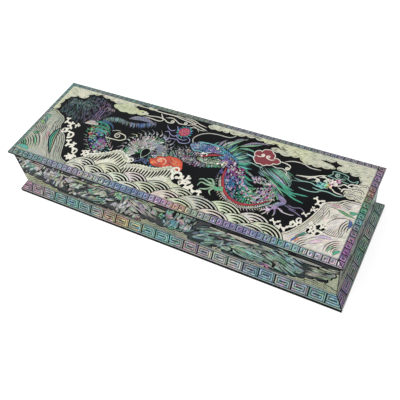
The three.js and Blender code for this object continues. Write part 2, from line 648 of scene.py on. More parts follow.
def lid_clouds(sheet):
    """The cloud banks along the back, with ragged dark openings between them"""
    w, h = LID_HALF
    left = [
        (-w, 10.5), (-140, 13.5), (-143, 18), (-142, 25), (-139, 30.4), (-135.4, 31), (-132.6, 34),
        (-129, 32), (-122, 35.4), (-125, 38.8), (-119, 40.6), (-113, 41.6), (-111, 43.4), (-108, 41),
        (-101, 40.8), (-95, 38.8), (-86, 38.9), (-76, 38.6), (-70, 42), (-66, 43.2),
    ]
    right = [
        (5, 42.6), (2, 40.2), (10, 39), (16, 39.6), (20.6, 38.7), (22, 40.6), (30, 39.4), (37, 41.4),
        (45, 42), (53, 40.8), (60, 39.8), (64, 42.2), (66.6, 40), (75, 38), (70, 36.6), (62, 35.6),
        (70, 33.2), (80, 33.4), (87, 35), (90, 31.4), (98, 30.4), (106, 31.2), (113, 32), (117, 34),
        (121, 32.4), (127.8, 34), (130, 31), (135.6, 33.4), (136.6, 29.4), (139.4, 27), (138, 22.6),
        (134, 20), (136, 15.6), (130, 14.6), (131, 10.6), (139, 9.4), (w, 8),
    ]
    for edge, corners in ((left, [(-w, h)]), (right, [(w, h), (5, h)])):
        outline = lobes(edge[::-1], 0.19)[::-1]
        sheet.lay(np.vstack((outline, corners)), "clouds", CREAM, 0.0)
        engrave_lobes(sheet, edge[::-1], 0.3, 0.19, 0.45)
        engrave_lobes(sheet, edge[::-1], 0.6, 0.19, 0.36)
    tongue = [
        (-58, 33), (-66, 32), (-76, 30.4), (-86, 31.2), (-92.4, 34.4), (-88, 36.8), (-78, 37.4),
        (-66, 36.4), (-58, 36),
    ]
    sheet.lay(lobes(tongue[::-1], -0.16), "clouds", mix(CREAM, LIME, 0.6), 0.0)
    for y, x0, x1 in ((34.6, -88, -78), (33.2, -80, -68), (35.6, -76, -66)):
        thin_line(sheet, smooth([(x0, y), ((x0 + x1) / 2, y + 0.6), (x1, y)], 5), 0.24)

    # The long dark openings
    star = [
        (99, 38), (107, 39), (112, 38.6), (114.6, 41.2), (116.6, 38.9), (122.4, 38.8), (119.6, 36.6),
        (117.6, 35.4), (117.2, 32), (114.6, 34.8), (108, 36.6),
    ]
    sheet.bare(lobes(star, -0.1, 4))
    for x0, x1, y in ((-64, -58, 35.2), (40, 52, 42.7)):
        sheet.bare([(x0, y), ((x0 + x1) / 2, y + 0.6), (x1, y), ((x0 + x1) / 2, y - 0.5)])

    # Fine wavy lines engraved in the bank
    for x0, x1, low, high in (
        (-144, -132, 34, 43), (-132, -96, 42, 43.2), (8, 60, 41, 43.2), (66, 112, 36, 43)
    ):
        y = low
        while y < high:
            x = x0 + sheet.random.uniform(0, 5)
            while x < x1 - 4:
                reach = sheet.random.uniform(4, 10)
                line = [(x, y), (x + reach * 0.3, y + 0.4), (x + reach * 0.7, y - 0.3), (x + reach, y)]
                thin_line(sheet, smooth(line, 4), 0.34)
                x += reach + sheet.random.uniform(2, 7)
            y += 1.7
    for y in (41.6, 40, 37, 35.2, 33.4):
        x = 121 + 1.4 * (41.6 - y)
        while x < 142:
            reach = sheet.random.uniform(3, 7)
            thin_line(sheet, smooth([(x, y), (x + reach / 2, y + 0.4), (x + reach, y)], 4), 0.34)
            x += reach + sheet.random.uniform(1.5, 5)
    for x, y, reach in (
        (-143, 28, 5), (-144, 22, 5), (-142, 16, 4), (-144, 36, 6), (137, 25, 5), (139, 17, 4)
    ):
        thin_line(sheet, smooth([(x, y), (x + 1, y + reach / 2), (x, y + reach)], 4), 0.24)


def lid_rocks(sheet):
    """The dark cliff at the back left, all fine slanting strokes"""
    cliff = [
        (-138, 12), (-137.6, 29.6), (-131, 30), (-122.6, 31), (-121, 37), (-114, 39.6), (-104, 39.4),
        (-97, 36.6), (-93, 32), (-86, 28), (-90, 20), (-92, 13), (-101, 8), (-112, 4.4), (-122, 6.6),
        (-130, 10),
    ]
    dark = [
        mix(SLATE, INK, 0.35), mix(mix(SLATE, TEAL, 0.28), INK, 0.2), mix(SLATE, INK, 0.4),
        mix(mix(SLATE, VIOLET, 0.35), INK, 0.2), mix(mix(SLATE, MAGENTA, 0.4), INK, 0.1),
        mix(SLATE, INK, 0.55),
    ]
    sheet.bare(cliff)
    rock_strokes(sheet, cliff, count=620, lean=-80, colours=dark, length=(1.6, 5.0), width=0.6)
    slope = [(-137, 22), (-135, 30), (-120, 30.6), (-108, 31), (-104, 24), (-118, 20)]
    rock_strokes(
        sheet, slope, count=120, lean=-48, colours=[mix(SLATE, CREAM, 0.2), mix(SLATE, TEAL, 0.3), SLATE],
        width=0.5
    )
    for x in (-129, -120.5, -110.5, -103.6, -97.6):
        crack = smooth([(x, 30), (x + 0.8, 23), (x - 0.4, 16), (x + 0.6, 10)], 6)
        thin_line(sheet, crack, 0.9)
    for x, y in ((-131, 25), (-123, 27.4), (-116.6, 26), (-95, 29), (-90, 28.6)):
        colour = mix(GREY, ROSE if x > -100 else SLATE, 0.4)
        line_curl(sheet, [(x - 3, y - 4), (x - 2, y - 1), (x + 1, y + 0.4)], 0.42, colour, (1.5, -1), "rocks")
    for x in (-101.4, -99.2, -96.8):
        line_curl(
            sheet, [(x, 26), (x + 0.9, 20), (x + 0.2, 13)], 0.55, mix(VIOLET, GREY, 0.45), None, "rocks"
        )


def lid_back_ridge(sheet):
    """The far stretch of the body, seen as a band of fine feathers"""
    ridge = smooth([(-92, 12.5), (-86, 17), (-78, 18.6), (-68, 17.4), (-59, 18.6), (-50, 22.5), (-44, 26)], 8)
    roots = ridge + (0.6, 3.0)
    ends = ridge + (3.4, -3.0)
    cool = [
        mix(SLATE, TEAL, 0.35), mix(GREY, TEAL, 0.4), mix(SLATE, CREAM, 0.3), mix(BLUE, SLATE, 0.45),
        mix(SLATE, VIOLET, 0.4),
    ]
    hair(sheet, roots, ends, count=46, bend=0.4, width=1.05, palette=cool, vary=0.25)
    upper = smooth([(-69, 23.6), (-64, 26.4), (-56, 27.8), (-48, 27), (-42, 24.6)], 8)
    set_strip(sheet, upper, 4.6, 1.0, "rocks", mix(VIOLET, GREY, 0.72), 0.05, 0.35)
    for k in range(16):
        spot = at(upper, (k + 1) / 18)
        thin_line(sheet, smooth([spot + (-0.8, 1.9), spot + (0.4, 0.2), spot + (1.6, -2)], 4), 0.32)


def lid_tail(sheet):
    """The end of the body beside the left wave, with pale fins"""
    path = smooth([(-82, 9.6), (-88, 5), (-87, -2), (-82, -9), (-75, -15), (-67, -20)], 12)
    palette = [
        TEAL, mix(BLUE, INK, 0.2), GREEN, mix(ORANGE, ROSE, 0.5), mix(BLUE, INK, 0.1), BLUE,
        mix(VIOLET, MAGENTA, 0.5), mix(ROSE, GREY, 0.3), mix(TEAL, GREY, 0.3), mix(TEAL, INK, 0.3),
    ]
    fins = [
        IVORY, CREAM, mix(GREEN, IVORY, 0.4), mix(ROSE, IVORY, 0.3), mix(GREEN, IVORY, 0.5),
        mix(ROSE, IVORY, 0.4), CREAM,
    ]
    spines(sheet, path, [4, 6, 7, 7.4, 7, 5], length=5.4, side=1, palette=fins, spacing=2.5, lean=-0.5)
    spines(
        sheet, path, [3.4, 5.4, 6.4, 6.4, 6, 5], length=5.6, side=-1, palette=fins, spacing=2.2,
        lean=-0.35
    )
    scale_row_body(sheet, path, [4, 6.4, 7.4, 7.4, 7, 6], palette, across=7)
    flecks(sheet, path, [4, 6, 7, 7, 6, 5], count=110, palette=None, size=(1.2, 3.0), lean=40)
    flecks(
        sheet, path, [4, 6, 7, 7, 6, 5], count=70,
        palette=[CYAN, GREEN, ROSE, GREEN, mix(BLUE, CREAM, 0.3), CREAM], size=(1.0, 2.4), lean=30
    )
    for x, y, hue in (
        (-93, 3, ORANGE), (-95, -2, GREEN), (-84, -3, BLUE), (-78, -9, MAGENTA),
        (-88, -9, mix(GREEN, GREY, 0.4))
    ):
        rock_strokes(
            sheet, disc((x, y), 3.2, 9), count=16, lean=30, colours=[hue, mix(hue, CREAM, 0.4)],
            group="dragon", length=(1.2, 3.0), width=0.8
        )
    snout = smooth([(-104, 4.6), (-100, 7), (-94, 7.6), (-90, 5)], 6)
    sheet.bare(ribbon(snout, 6.0))
    sheet.lay(ribbon(snout, taper(len(snout), 5.0, 0.4, 1.4)), "dragon", mix(CREAM, ROSE, 0.25), 0.02)
    for k in range(7):
        spot = at(snout, (k + 1) / 8)
        thin_line(sheet, [spot + (0, 2), spot + (0.7, 0), spot + (0.4, -2)], 0.34)
    for points, colour in (
        ([(-96, 9), (-89, 11), (-82, 9), (-76, 4.5)], TEAL),
        ([(-95, 4), (-88, 6), (-80, 5), (-73, 0.5)], mix(TEAL, GREEN, 0.6)),
        ([(-93, 1), (-86, 2.4), (-80, 1), (-76, -2)], mix(CYAN, GREEN, 0.4)),
        ([(-92, 12), (-86, 13), (-79, 11), (-74, 6)], mix(BLUE, INK, 0.2)),
    ):
        lock(sheet, points, 2.2, colour)
    line_curl(
        sheet, [(-76, -3.6), (-69, -3.4), (-62, -2.6), (-58.4, 0.4), (-60.4, 4), (-66, 5.2)], 0.75, CREAM,
        (3.4, 1)
    )
    line_curl(sheet, [(-75, 5), (-71, 7), (-67, 7.4)], 0.5, mix(CREAM, GREY, 0.4))


def lid_hump(sheet):
    """The arch of the back between the waves, bristling with pale fins round a dark hollow"""
    heart = np.array([-33.0, -6.0])
    arch = np.array([heart + (12.6, 11.6) * aim(turn) for turn in range(214, -46, -10)])
    pale = [
        mix(IVORY, ROSE, 0.35), mix(GREY, CREAM, 0.6), mix(IVORY, VIOLET, 0.3), mix(GREY, BLUE, 0.3),
        mix(CREAM, GREY, 0.2),
    ]
    spines(
        sheet, arch, [7.4, 8, 8.6, 8.6, 8, 7], length=7.4, side=1, palette=pale, spacing=2.0, lean=-0.5
    )
    spines(
        sheet, arch, [5, 5.5, 6, 6, 5.5, 5], length=7.0, side=1, palette=pale[::-1], spacing=2.6,
        lean=-0.2
    )
    palette = [
        GREEN, mix(GREEN, GREY, 0.4), mix(ROSE, GREY, 0.5), GREY, mix(GREY, CREAM, 0.5),
        mix(GREEN, GREY, 0.3), mix(GREY, ROSE, 0.3), mix(GREY, VIOLET, 0.4), mix(BLUE, GREY, 0.4), GREEN,
    ]
    scale_row_body(sheet, arch, [7.6, 8, 8.2, 8.2, 7.8, 7], palette, across=8, pitch=1.5)
    flecks(sheet, arch, [7, 7, 7, 7], count=130, palette=None, size=(1.2, 2.6), lean=80)
    flecks(
        sheet, arch, [7, 7, 7, 7], count=130,
        palette=[IVORY, PINK, mix(IVORY, VIOLET, 0.3), CREAM, IVORY, GREEN, ROSE], size=(1.1, 2.8),
        lean=70
    )
    for k in range(34):
        root = at(arch, (k + 0.4) / 35)
        out = root - heart
        out = out / np.linalg.norm(out)
        side = left_of(out)
        tip = root + out * sheet.random.uniform(3, 8) + side * sheet.random.uniform(-2.5, 1)
        path = smooth([root - out * 3, root + side, tip], 4)
        set_strip(sheet, path, 1.0, 0.3, "dragon", blend_stops(pale, k / 34), 0.12, 0.3)
    drop = [
        (-37, -4.4), (-35.6, -2), (-32.4, -1.4), (-29.4, -3), (-29, -6), (-30.4, -9.6), (-33.4, -13.4),
        (-35.8, -10), (-37.2, -7),
    ]
    sheet.lay(smooth(drop + [drop[0]], 4) * 1.0, "dragon", mix(CREAM, GREEN, 0.2), 0.02)
    inner = heart + (0, -0.6) + (np.array(smooth(drop + [drop[0]], 4)) - heart - (0, -0.6)) * 0.86
    sheet.bare(inner)
    hem = smooth([(-50, -15), (-44, -17.5), (-36, -17.6), (-28, -15.6), (-20, -18.4), (-12, -17)], 8)
    sheet.bare(ribbon(hem, 5.4))
    rock_strokes(
        sheet, ribbon(hem, 5.0), count=150, lean=60,
        colours=[mix(GREEN, GREY, 0.3), mix(VIOLET, GREY, 0.5), mix(BLUE, GREY, 0.3), CYAN],
        group="dragon", length=(1.0, 2.6), width=0.6
    )


def lid_neck(sheet):
    """The stretch of body that passes under the head"""
    path = smooth([(-12, -6), (-7, 0.5), (2, 3.4), (12, 2), (22, 4.4), (32, 7), (41, 9)], 12)
    palette = [
        mix(GREEN, GREY, 0.3), GREY, mix(GREY, ROSE, 0.4), GREY, mix(MAGENTA, GREY, 0.4),
        mix(GREEN, CREAM, 0.3), mix(GREEN, GREY, 0.4), mix(ROSE, CREAM, 0.3), mix(VIOLET, PINK, 0.4),
    ]
    pale = [mix(GREY, CREAM, 0.3), mix(GREY, GREEN, 0.2), mix(GREY, VIOLET, 0.3), mix(GREY, CREAM, 0.4)]
    spines(sheet, path[:52], [5, 7, 7.6, 7.4], length=4.4, side=1, palette=pale, spacing=1.9, lean=-0.5)
    scale_row_body(sheet, path, [5.0, 7.2, 7.8, 7.4, 6.2, 5.6], palette, across=8, pitch=1.5)
    flecks(sheet, path, [5, 7, 7, 7, 6], count=100, palette=None, size=(1.2, 2.4), lean=60)
    flecks(
        sheet, path, [5, 7, 7, 7, 6], count=110, palette=[IVORY, PINK, GREEN, MAGENTA, CREAM, CYAN],
        size=(0.8, 2.0), lean=70
    )
    for k in range(16):
        x = -9 + 1.9 * k
        y = -2.5 + 0.16 * k
        wave = smooth([(x, y), (x + 0.9, y + 3.5), (x - 0.3, y + 7), (x + 0.8, y + 10.5)], 4)
        thin_line(sheet, wave, 0.5)


def lid_coil(sheet):
    """The great coil to the right of the head, with its plain red belly band"""
    path = smooth(
        [(41, 9), (46.6, 4), (48, -3), (50, -11), (57, -16.8), (66, -17.6), (75, -13.4), (83, -7)], 12
    )
    fringe = [
        VIOLET, mix(VIOLET, BLUE, 0.5), mix(CREAM, GREY, 0.3), mix(CREAM, ROSE, 0.2),
        mix(PINK, CREAM, 0.6), mix(CREAM, GREY, 0.2), mix(CYAN, CREAM, 0.6),
    ]
    spines(
        sheet, path, [10, 12.4, 12.6, 12.4, 12, 11, 9], length=2.6, side=-1, palette=fringe, spacing=1.25,
        lean=0.6
    )
    palette = [
        VIOLET, MAGENTA, mix(MAGENTA, VIOLET, 0.4), mix(BLUE, CYAN, 0.4), mix(BLUE, TEAL, 0.4), TEAL,
        mix(GREEN, TEAL, 0.4), mix(GREEN, CREAM, 0.4), mix(PINK, CREAM, 0.4), mix(ROSE, CREAM, 0.5),
        GREEN,
    ]
    scale_row_body(sheet, path, [6.6, 8.6, 9.6, 10, 9.8, 9.4, 8.4, 6.5], palette, across=10, pitch=1.5)
    flecks(sheet, path, [6, 8, 9, 9, 9, 8, 7], count=150, palette=None, size=(1.2, 2.6), lean=60)
    flecks(
        sheet, path, [6, 8, 9, 9, 9, 8, 7], count=190,
        palette=[CYAN, MAGENTA, MAGENTA, IVORY, GREEN, PINK, IVORY, VIOLET], size=(0.9, 2.5)
    )
    belly = smooth(
        [
            (37.6, 3), (39, -5), (42.6, -13.4), (48.4, -20.6), (56, -25), (65, -25.8), (74, -22.4),
            (82.4, -15)
        ],
        12
    )
    side = directions(belly)[1]
    below = belly - side * 2.1
    sheet.bare(ribbon(below[10:], 3.4))
    for k in range(44):
        spot = at(below[14:], (k + 0.5) / 44)
        colour = blend_stops(fringe[2:], k / 44)
        rib = smooth([spot + (-0.2, 1.2), spot + (0.3, -0.2), spot + (-0.5, -1.6)], 3)
        sheet.lay(ribbon(rib, 0.66), "dragon", colour, 0.14)
    widths = np.concatenate(
        (np.linspace(0.7, 2.0, 16), np.full(len(belly) - 40, 2.0), np.linspace(2.0, 0.5, 24))
    )
    sheet.bare(ribbon(belly, widths + 0.7))
    sheet.lay(ribbon(belly, widths), "red", CRIMSON, 0.0)
    for points, colour in (
        ([(52, 6), (58, 3.5), (63, 1.4)], mix(GREY, CREAM, 0.3)),
        ([(54, 1), (59, -1.6), (64, -2)], mix(TEAL, GREEN, 0.5)),
        ([(55, -2), (60, -5.6), (66, -7)], mix(TEAL, CREAM, 0.2)),
        ([(48, 12), (53, 7), (57, 3)], mix(GREEN, CYAN, 0.4)),
        ([(44, 15), (50, 9), (56, 5)], GREEN),
    ):
        lock(sheet, points, 1.8, colour)


def lid_haunch(sheet):
    """The hair of the hind leg, which streams to the right, and the leg itself"""
    cool = [
        mix(TEAL, GREY, 0.5), mix(TEAL, IVORY, 0.35), mix(TEAL, CREAM, 0.6), TEAL, mix(GREEN, GREY, 0.4),
        mix(TEAL, IVORY, 0.3), mix(GREY, CREAM, 0.4), mix(TEAL, GREY, 0.4),
    ]
    hair(
        sheet, [(62, 8), (65, 14), (74, 17), (82, 16)], [(80, -6), (90, -2), (91, 5), (90, 13)], count=18,
        bend=1.2, width=0.95, palette=cool, vary=0.4
    )
    hair(
        sheet, [(66, 4), (68, 10), (72, 14)], [(88, -9), (93, -5), (95, -1)], count=10, bend=1.4,
        width=0.95, palette=cool, vary=0.4
    )
    for points in (
        [(80, 4), (88, 1.6), (94, -1.6), (100, -1.4), (107, -0.6)],
        [(82, 0), (90, -3), (98, -6.4), (106, -8)],
        [(84, 3), (92, -2.4), (99, -4)],
        [(76, 6), (86, 3), (95, 0.6)],
    ):
        line_curl(sheet, points, 1.15, mix(GREEN, CYAN, 0.35), None, "dragon")
    grey = mix(GREY, TEAL, 0.35)
    for x, y in ((84, 16), (87, 13), (89.6, 9.6), (90.4, 5)):
        line_curl(sheet, [(x - 4, y + 0.6), (x - 1.6, y + 1.2), (x, y - 1.6), (x + 0.6, y + 1.4)], 0.45, grey)
    line_curl(sheet, [(65, 15.6), (62.6, 13.4), (64, 10.6), (68, 9.6)], 0.5, grey)

    cheek = smooth([(61, -0.4), (66, 1.4), (72, 1), (79, -3.4)], 8)
    sheet.bare(ribbon(cheek, taper(len(cheek), 8.6, 0.5, 3)))
    rock_strokes(
        sheet, ribbon(cheek, 6.8), count=150, lean=-30,
        colours=[mix(PINK, GREY, 0.3), PINK, mix(GREY, GREEN, 0.3), mix(PINK, CREAM, 0.4), MAGENTA],
        group="dragon", length=(1, 2.6), width=0.8
    )
    joint = smooth([(72, -5), (79, -6.6), (86, -9)], 8)
    rock_strokes(
        sheet, ribbon(joint, 8), count=150, lean=-40,
        colours=[mix(GREEN, INK, 0.35), mix(TEAL, INK, 0.4), mix(GREEN, CREAM, 0.3)], group="dragon",
        length=(1, 2.8), width=0.8
    )
    leg = smooth([(84, -8), (90, -10), (93, -12.6), (89.6, -16), (88, -20)], 6)
    sheet.bare(ribbon(leg, 4.8))
    sheet.lay(ribbon(leg, np.linspace(4.2, 2.6, len(leg))), "dragon", mix(VIOLET, GREY, 0.6))
    claw(
        sheet, (88, -19.5), angle=-90, size=5.6, colour=mix(VIOLET, mix(PINK, GREY, 0.5), 0.5),
        tip_colour=mix(CREAM, PINK, 0.2), toes=4, spread=190
    )
    claw(
        sheet, (84.6, -23), angle=200, size=4.4, colour=mix(PINK, CREAM, 0.4), tip_colour=IVORY, toes=3,
        spread=120
    )
    violet = mix(VIOLET, GREY, 0.55)
    for points in (
        [(96, -13.6), (101, -14.4), (106, -13), (110, -15)],
        [(98, -17), (104, -18), (109, -20)],
        [(93, -14), (99, -16), (104, -16.4)],
    ):
        line_curl(sheet, points, 0.7, violet, None, "dragon")
    line_curl(sheet, [(91, -19), (95, -21.2), (101, -21.6), (104, -20.6)], 0.6, mix(IVORY, VIOLET, 0.3))


def lid_forefoot(sheet):
    """The fore foot, spread over the dark water"""
    leg = smooth([(45, -18), (40, -19.6), (36, -18)], 6)
    sheet.bare(ribbon(leg, 4.6))
    sheet.lay(ribbon(leg, np.linspace(4.2, 2.6, len(leg))), "dragon", mix(GREEN, CREAM, 0.3))
    toes = mix(CREAM, GREEN, 0.35)
    for points in (
        [(37, -17), (31, -15.6), (26, -14.4), (23, -16)],
        [(37, -18), (31, -18.4), (26, -18), (24.6, -22)],
        [(37, -19), (33, -22.6), (28, -24.6), (29, -27)],
        [(38, -19), (36, -23.6), (38.6, -27)],
        [(36.6, -16.6), (33, -12.4), (29, -13)],
    ):
        path = smooth(points, 6)
        sheet.bare(ribbon(path, 2.5))
        shell_line(sheet, path, np.linspace(1.9, 0.5, len(path)), "dragon", toes)


def lid_head(sheet):
    """The head, in profile, facing the pearl"""
    cool = [
        mix(TEAL, GREY, 0.4), mix(TEAL, IVORY, 0.5), TEAL, mix(GREEN, IVORY, 0.4), mix(TEAL, GREY, 0.4),
        mix(CYAN, IVORY, 0.4), mix(TEAL, GREEN, 0.4), mix(TEAL, IVORY, 0.3),
    ]
    hair(
        sheet, [(24, 17), (30, 19), (36, 17), (42, 12)], [(22, 29), (34, 29.6), (46, 25), (55, 14)],
        count=24, bend=-0.8, width=1.05, palette=cool, vary=0.4
    )
    hair(
        sheet, [(30, 12), (36, 14), (42, 12), (46, 8)], [(37, 25), (46, 22), (53, 17), (57, 9)], count=17,
        bend=-0.6, width=1.0, palette=cool, vary=0.4
    )
    pale = mix(GREY, VIOLET, 0.25)
    for points, colour in (
        ([(21, 22), (22, 27), (25, 31.4)], pale),
        ([(24, 22.6), (26, 27), (31, 31), (36, 31.6)], mix(pale, IVORY, 0.4)),
        ([(27, 23), (31, 29), (36, 34.6), (41, 38.6)], mix(GREEN, IVORY, 0.5)),
        ([(30, 31), (35, 35.6), (41, 36.6)], pale),
        ([(37, 28), (43, 31), (49, 33.4), (55, 37)], mix(GREEN, IVORY, 0.5)),
        ([(39, 30), (46, 35), (54, 37.6), (60, 38)], pale),
        ([(38, 26), (44, 27.4), (50, 27), (56, 24)], mix(TEAL, IVORY, 0.4)),
        ([(17, 20.6), (18, 24.4), (20, 27)], mix(TEAL, GREY, 0.4)),
    ):
        lock(sheet, points, 1.9, colour)
    line_curl(
        sheet,
        [(4, 16), (-1, 18.4), (-3, 23), (0, 28.4), (6, 32.4), (14, 34), (24, 34.2), (28, 36), (30, 39)],
        0.8, mix(GREY, CREAM, 0.35)
    )

    jaw = smooth([(34, 8.4), (27, 5.6), (20, 3.2), (14, 2.6), (9.6, 5.6)], 8)
    sheet.bare(ribbon(jaw, np.linspace(7.4, 3.4, len(jaw))))
    rock_strokes(
        sheet, ribbon(jaw, np.linspace(6.4, 2.4, len(jaw))), count=160, lean=28,
        colours=[mix(GREEN, CREAM, 0.4), CREAM, mix(GREEN, CREAM, 0.6), mix(ROSE, CREAM, 0.4)],
        group="dragon", length=(1.2, 3.0), width=0.8
    )
    snout = smooth([(34, 13), (27, 16), (19, 17), (11, 15.6), (5, 17.4), (2, 14.4)], 8)
    sheet.bare(ribbon(snout, np.linspace(11, 6.8, len(snout))))
    blues = [mix(BLUE, CYAN, 0.3), CYAN, mix(VIOLET, PINK, 0.3), BLUE, mix(CYAN, IVORY, 0.4), VIOLET]
    scale_row_body(sheet, snout, [5.0, 5.2, 4.8, 4.2, 3.4], blues, across=6, pitch=1.25)
    flecks(sheet, snout, [5, 5, 4.6, 4, 3.4], count=150, palette=[IVORY, CYAN, BLUE, PINK, VIOLET, IVORY])
    for points in ([(3, 20.6), (9, 21.6), (16, 22), (24, 21)], [(1, 12.4), (4, 10.6), (8, 11.4), (12, 10.6)]):
        line_curl(sheet, points, 1.2, mix(CYAN, IVORY, 0.25), None, "dragon")
    mouth = smooth([(11, 4.6), (16, 8.4), (22, 11.8), (29.6, 14)], 8)
    sheet.bare(ribbon(mouth, taper(len(mouth), 4.6, 0.6, 1.5)))
    sheet.lay(ribbon(mouth, taper(len(mouth), 2.1, 0.6, 0.5)), "red", CRIMSON, 0.0)
    lip = smooth([(9.6, 8.4), (14, 10.6), (19, 13.6)], 6)
    shell_line(sheet, lip, taper(len(lip), 1.1, 0.5, 0.3), "lines", mix(IVORY, CYAN, 0.2))
    for k in range(2):
        tooth = at(mouth, 0.12 + 0.2 * k)
        sheet.lay([tooth + (-0.7, 1.3), tooth + (0.7, 1.9), tooth + (0.5, -0.2)], "lines", IVORY, 0.02)
    for x, y in ((29, 4.2), (33, 4.6), (36.6, 5.4), (12.6, 10.6)):
        sheet.lay(disc((x, y), 1.0, 8), "lines", IVORY, 0.02)
    sheet.bare(disc((21.6, 19.4), 1.9))
    sheet.lay(disc((21.6, 19.4), 1.35), "lines", IVORY, 0.0)
    sheet.bare(disc((21.2, 19.3), 0.7, 10))
    line_curl(sheet, [(16, 20.4), (19, 22.4), (24, 22.4), (27, 20)], 0.9, CYAN, None, "dragon")
    line_curl(sheet, [(6, 14), (2, 12.4), (-1, 14.4)], 0.9, mix(BLUE, IVORY, 0.4), (1.5, -1), "dragon")
    for points, colour in (
        ([(36, 12), (32, 9), (30, 5)], mix(VIOLET, PINK, 0.4)),
        ([(38, 13), (38, 8), (36, 4)], VIOLET),
        ([(31, 14), (35, 11), (40, 9.6)], mix(BLUE, VIOLET, 0.5)),
        ([(33, 17), (39, 15), (45, 10)], mix(CYAN, BLUE, 0.5)),
    ):
        lock(sheet, points, 1.6, colour)


def lid_pearl(sheet):
    """The flaming pearl that the dragon is after"""
    heart = np.array([-13.8, 26.4])
    flame = mix(mix(BLUE, VIOLET, 0.45), IVORY, 0.3)
    for points in (
        [(-23, 31), (-21, 28), (-19, 25), (-17.6, 21.6), (-20, 19), (-24, 20), (-27, 22.4), (-30, 21)],
        [(-8, 22), (-5, 20), (-4.4, 17), (-7, 14.6), (-12, 14), (-15, 16), (-19, 16), (-26, 14.8)],
        [(-32, 29), (-29, 25.6), (-25, 24.2), (-22, 26)],
        [(-29, 17.4), (-26, 13.4), (-22, 10.6)],
        [(-19, 20.6), (-15, 18), (-10, 17.6), (-7.6, 20)],
    ):
        line_curl(sheet, points, 0.62, flame)
    for k in range(15):
        turn = 2 * math.pi * k / 15
        out = unit(turn)
        side = left_of(out)
        tip = heart + out * 7.6 + side * 1.8
        loop = [heart + out * 5.0 - side * 1.2, heart + out * 5.0 + side * 1.2, tip]
        sheet.lay(loop, "dragon", (BLUE, CYAN, mix(CYAN, GREEN, 0.5))[k % 3], 0.1)
    sheet.bare(disc(heart, 5.4, 24))
    sheet.lay(disc(heart, 5.0, 24), "red", mix(CRIMSON, MAGENTA, 0.25), 0.0)
    for k in range(26):
        turn = 2.4 * k
        reach = 4.3 * math.sqrt((k + 0.5) / 26)
        spot = heart + reach * unit(turn)
        sheet.lay(disc(spot, 0.4, 6), "dragon", (ROSE, PINK, mix(CRIMSON, ORANGE, 0.4))[k % 3], 0.1)


def outlined(sheet, outline, width, line, fill, group):
    """A closed shape inside a light outline"""
    outline = np.asarray(outline, float)
    closed = np.vstack((outline, outline[:1]))
    sheet.bare(ribbon(np.vstack((closed, outline[1:2])), width + 1.0))
    if fill is None:
        sheet.bare(outline)
    else:
        sheet.lay(outline, group, fill, 0.0)
    shell_line(sheet, closed, np.full(len(closed), width), "lines", line)


def lid_red_clouds(sheet):
    """The dark red cloud above the coil and the bright one under the neck, with the lines beside them"""
    crown = [
        (75, 23.6), (68.6, 26), (66, 31), (60.4, 33), (57, 29.4), (52.6, 28.6), (53.4, 23.6), (55, 18.6),
        (60.6, 16.8), (66, 17.6), (70, 20.6),
    ]
    edge = lobes(crown[::-1] + [crown[-1]], 0.24, 7)[:-1]
    outlined(sheet, edge, 0.7, FOAM, WINE, "red")
    line_curl(sheet, [(54, 24.2), (57, 23.6), (59.6, 24.6)], 0.7, IVORY, (1.6, 1))
    line_curl(sheet, [(70, 25), (67, 23.4), (63.6, 24)], 0.7, IVORY, (1.8, -1))
    line_curl(sheet, [(74, 24.6), (79, 24.4), (83.6, 22.8), (84, 20)], 0.75, IVORY, (1.7, -1))
    grey = mix(IVORY, GREY, 0.35)
    line_curl(sheet, [(78, 25.8), (84, 28.6), (92, 29), (99, 27), (107, 27.4)], 0.75, grey)
    line_curl(sheet, [(70, 18.6), (74, 17.4), (79, 18.4), (83, 16.4), (84, 13)], 0.6, grey)
    line_curl(sheet, [(46, 22.6), (50, 22), (54, 21)], 1.0, mix(CYAN, IVORY, 0.4))
    line_curl(sheet, [(48, 15.4), (54, 15), (60, 13.8), (65, 13)], 0.6, mix(TEAL, IVORY, 0.5))

    outline = [
        (-25.6, -11), (-21.4, -9.4), (-20, -6.4), (-15, -5.4), (-12.6, -3.4), (-8, -2.6), (-3, -2.8),
        (1.6, -5), (3.6, -8.6), (5, -12.6), (1, -14.6), (-4, -15.4), (-9, -15), (-14, -16.4), (-19, -17),
        (-23.6, -15),
    ]
    body = smooth(outline + [outline[0]], 5)[:-1]
    sheet.bare(ribbon(np.vstack((body, body[:2])), 1.2))
    sheet.lay(body, "red", ORANGE, 0.0)
    ember = mix(ORANGE, WINE, 0.55)
    for points, curl in (
        ([(-24, -12), (-19, -9.6), (-16, -12.4)], (1.8, -1)),
        ([(-19, -15.6), (-13, -15), (-9, -11)], (2.6, 1)),
        ([(-16, -6.8), (-10, -5), (-6, -9)], (1.5, -1)),
        ([(-4, -13.6), (0, -11), (3, -12)], None),
    ):
        line_curl(sheet, points, 1.0, ember, curl, "red")
    line_curl(
        sheet, [(-12, -14), (-11, -10), (-13.6, -7.4), (-17, -7.6)], 1.1, mix(CREAM, ORANGE, 0.35), (2.2, 1)
    )
    line_curl(sheet, [(-22, -11), (-20, -13.4), (-16, -13.6)], 0.8, mix(CREAM, ORANGE, 0.55))
    for points in (
        [(-9, -4), (-5, -6), (0, -6.4)], [(-8, -8), (-3, -9.6), (2, -10)],
        [(-6, -12), (-2, -12.8), (1, -12.6)]
    ):
        line_curl(sheet, points, 0.7, mix(MOSS, ORANGE, 0.35))
    for x, y, r in ((-21.6, -14.2, 1.5), (-3.4, -7.9, 0.9), (0.6, -8.4, 0.8), (-14.6, -10.6, 0.8)):
        sheet.lay(disc((x, y), r, 9), "red", mix(ORANGE, GOLD, 0.5), 0.02)


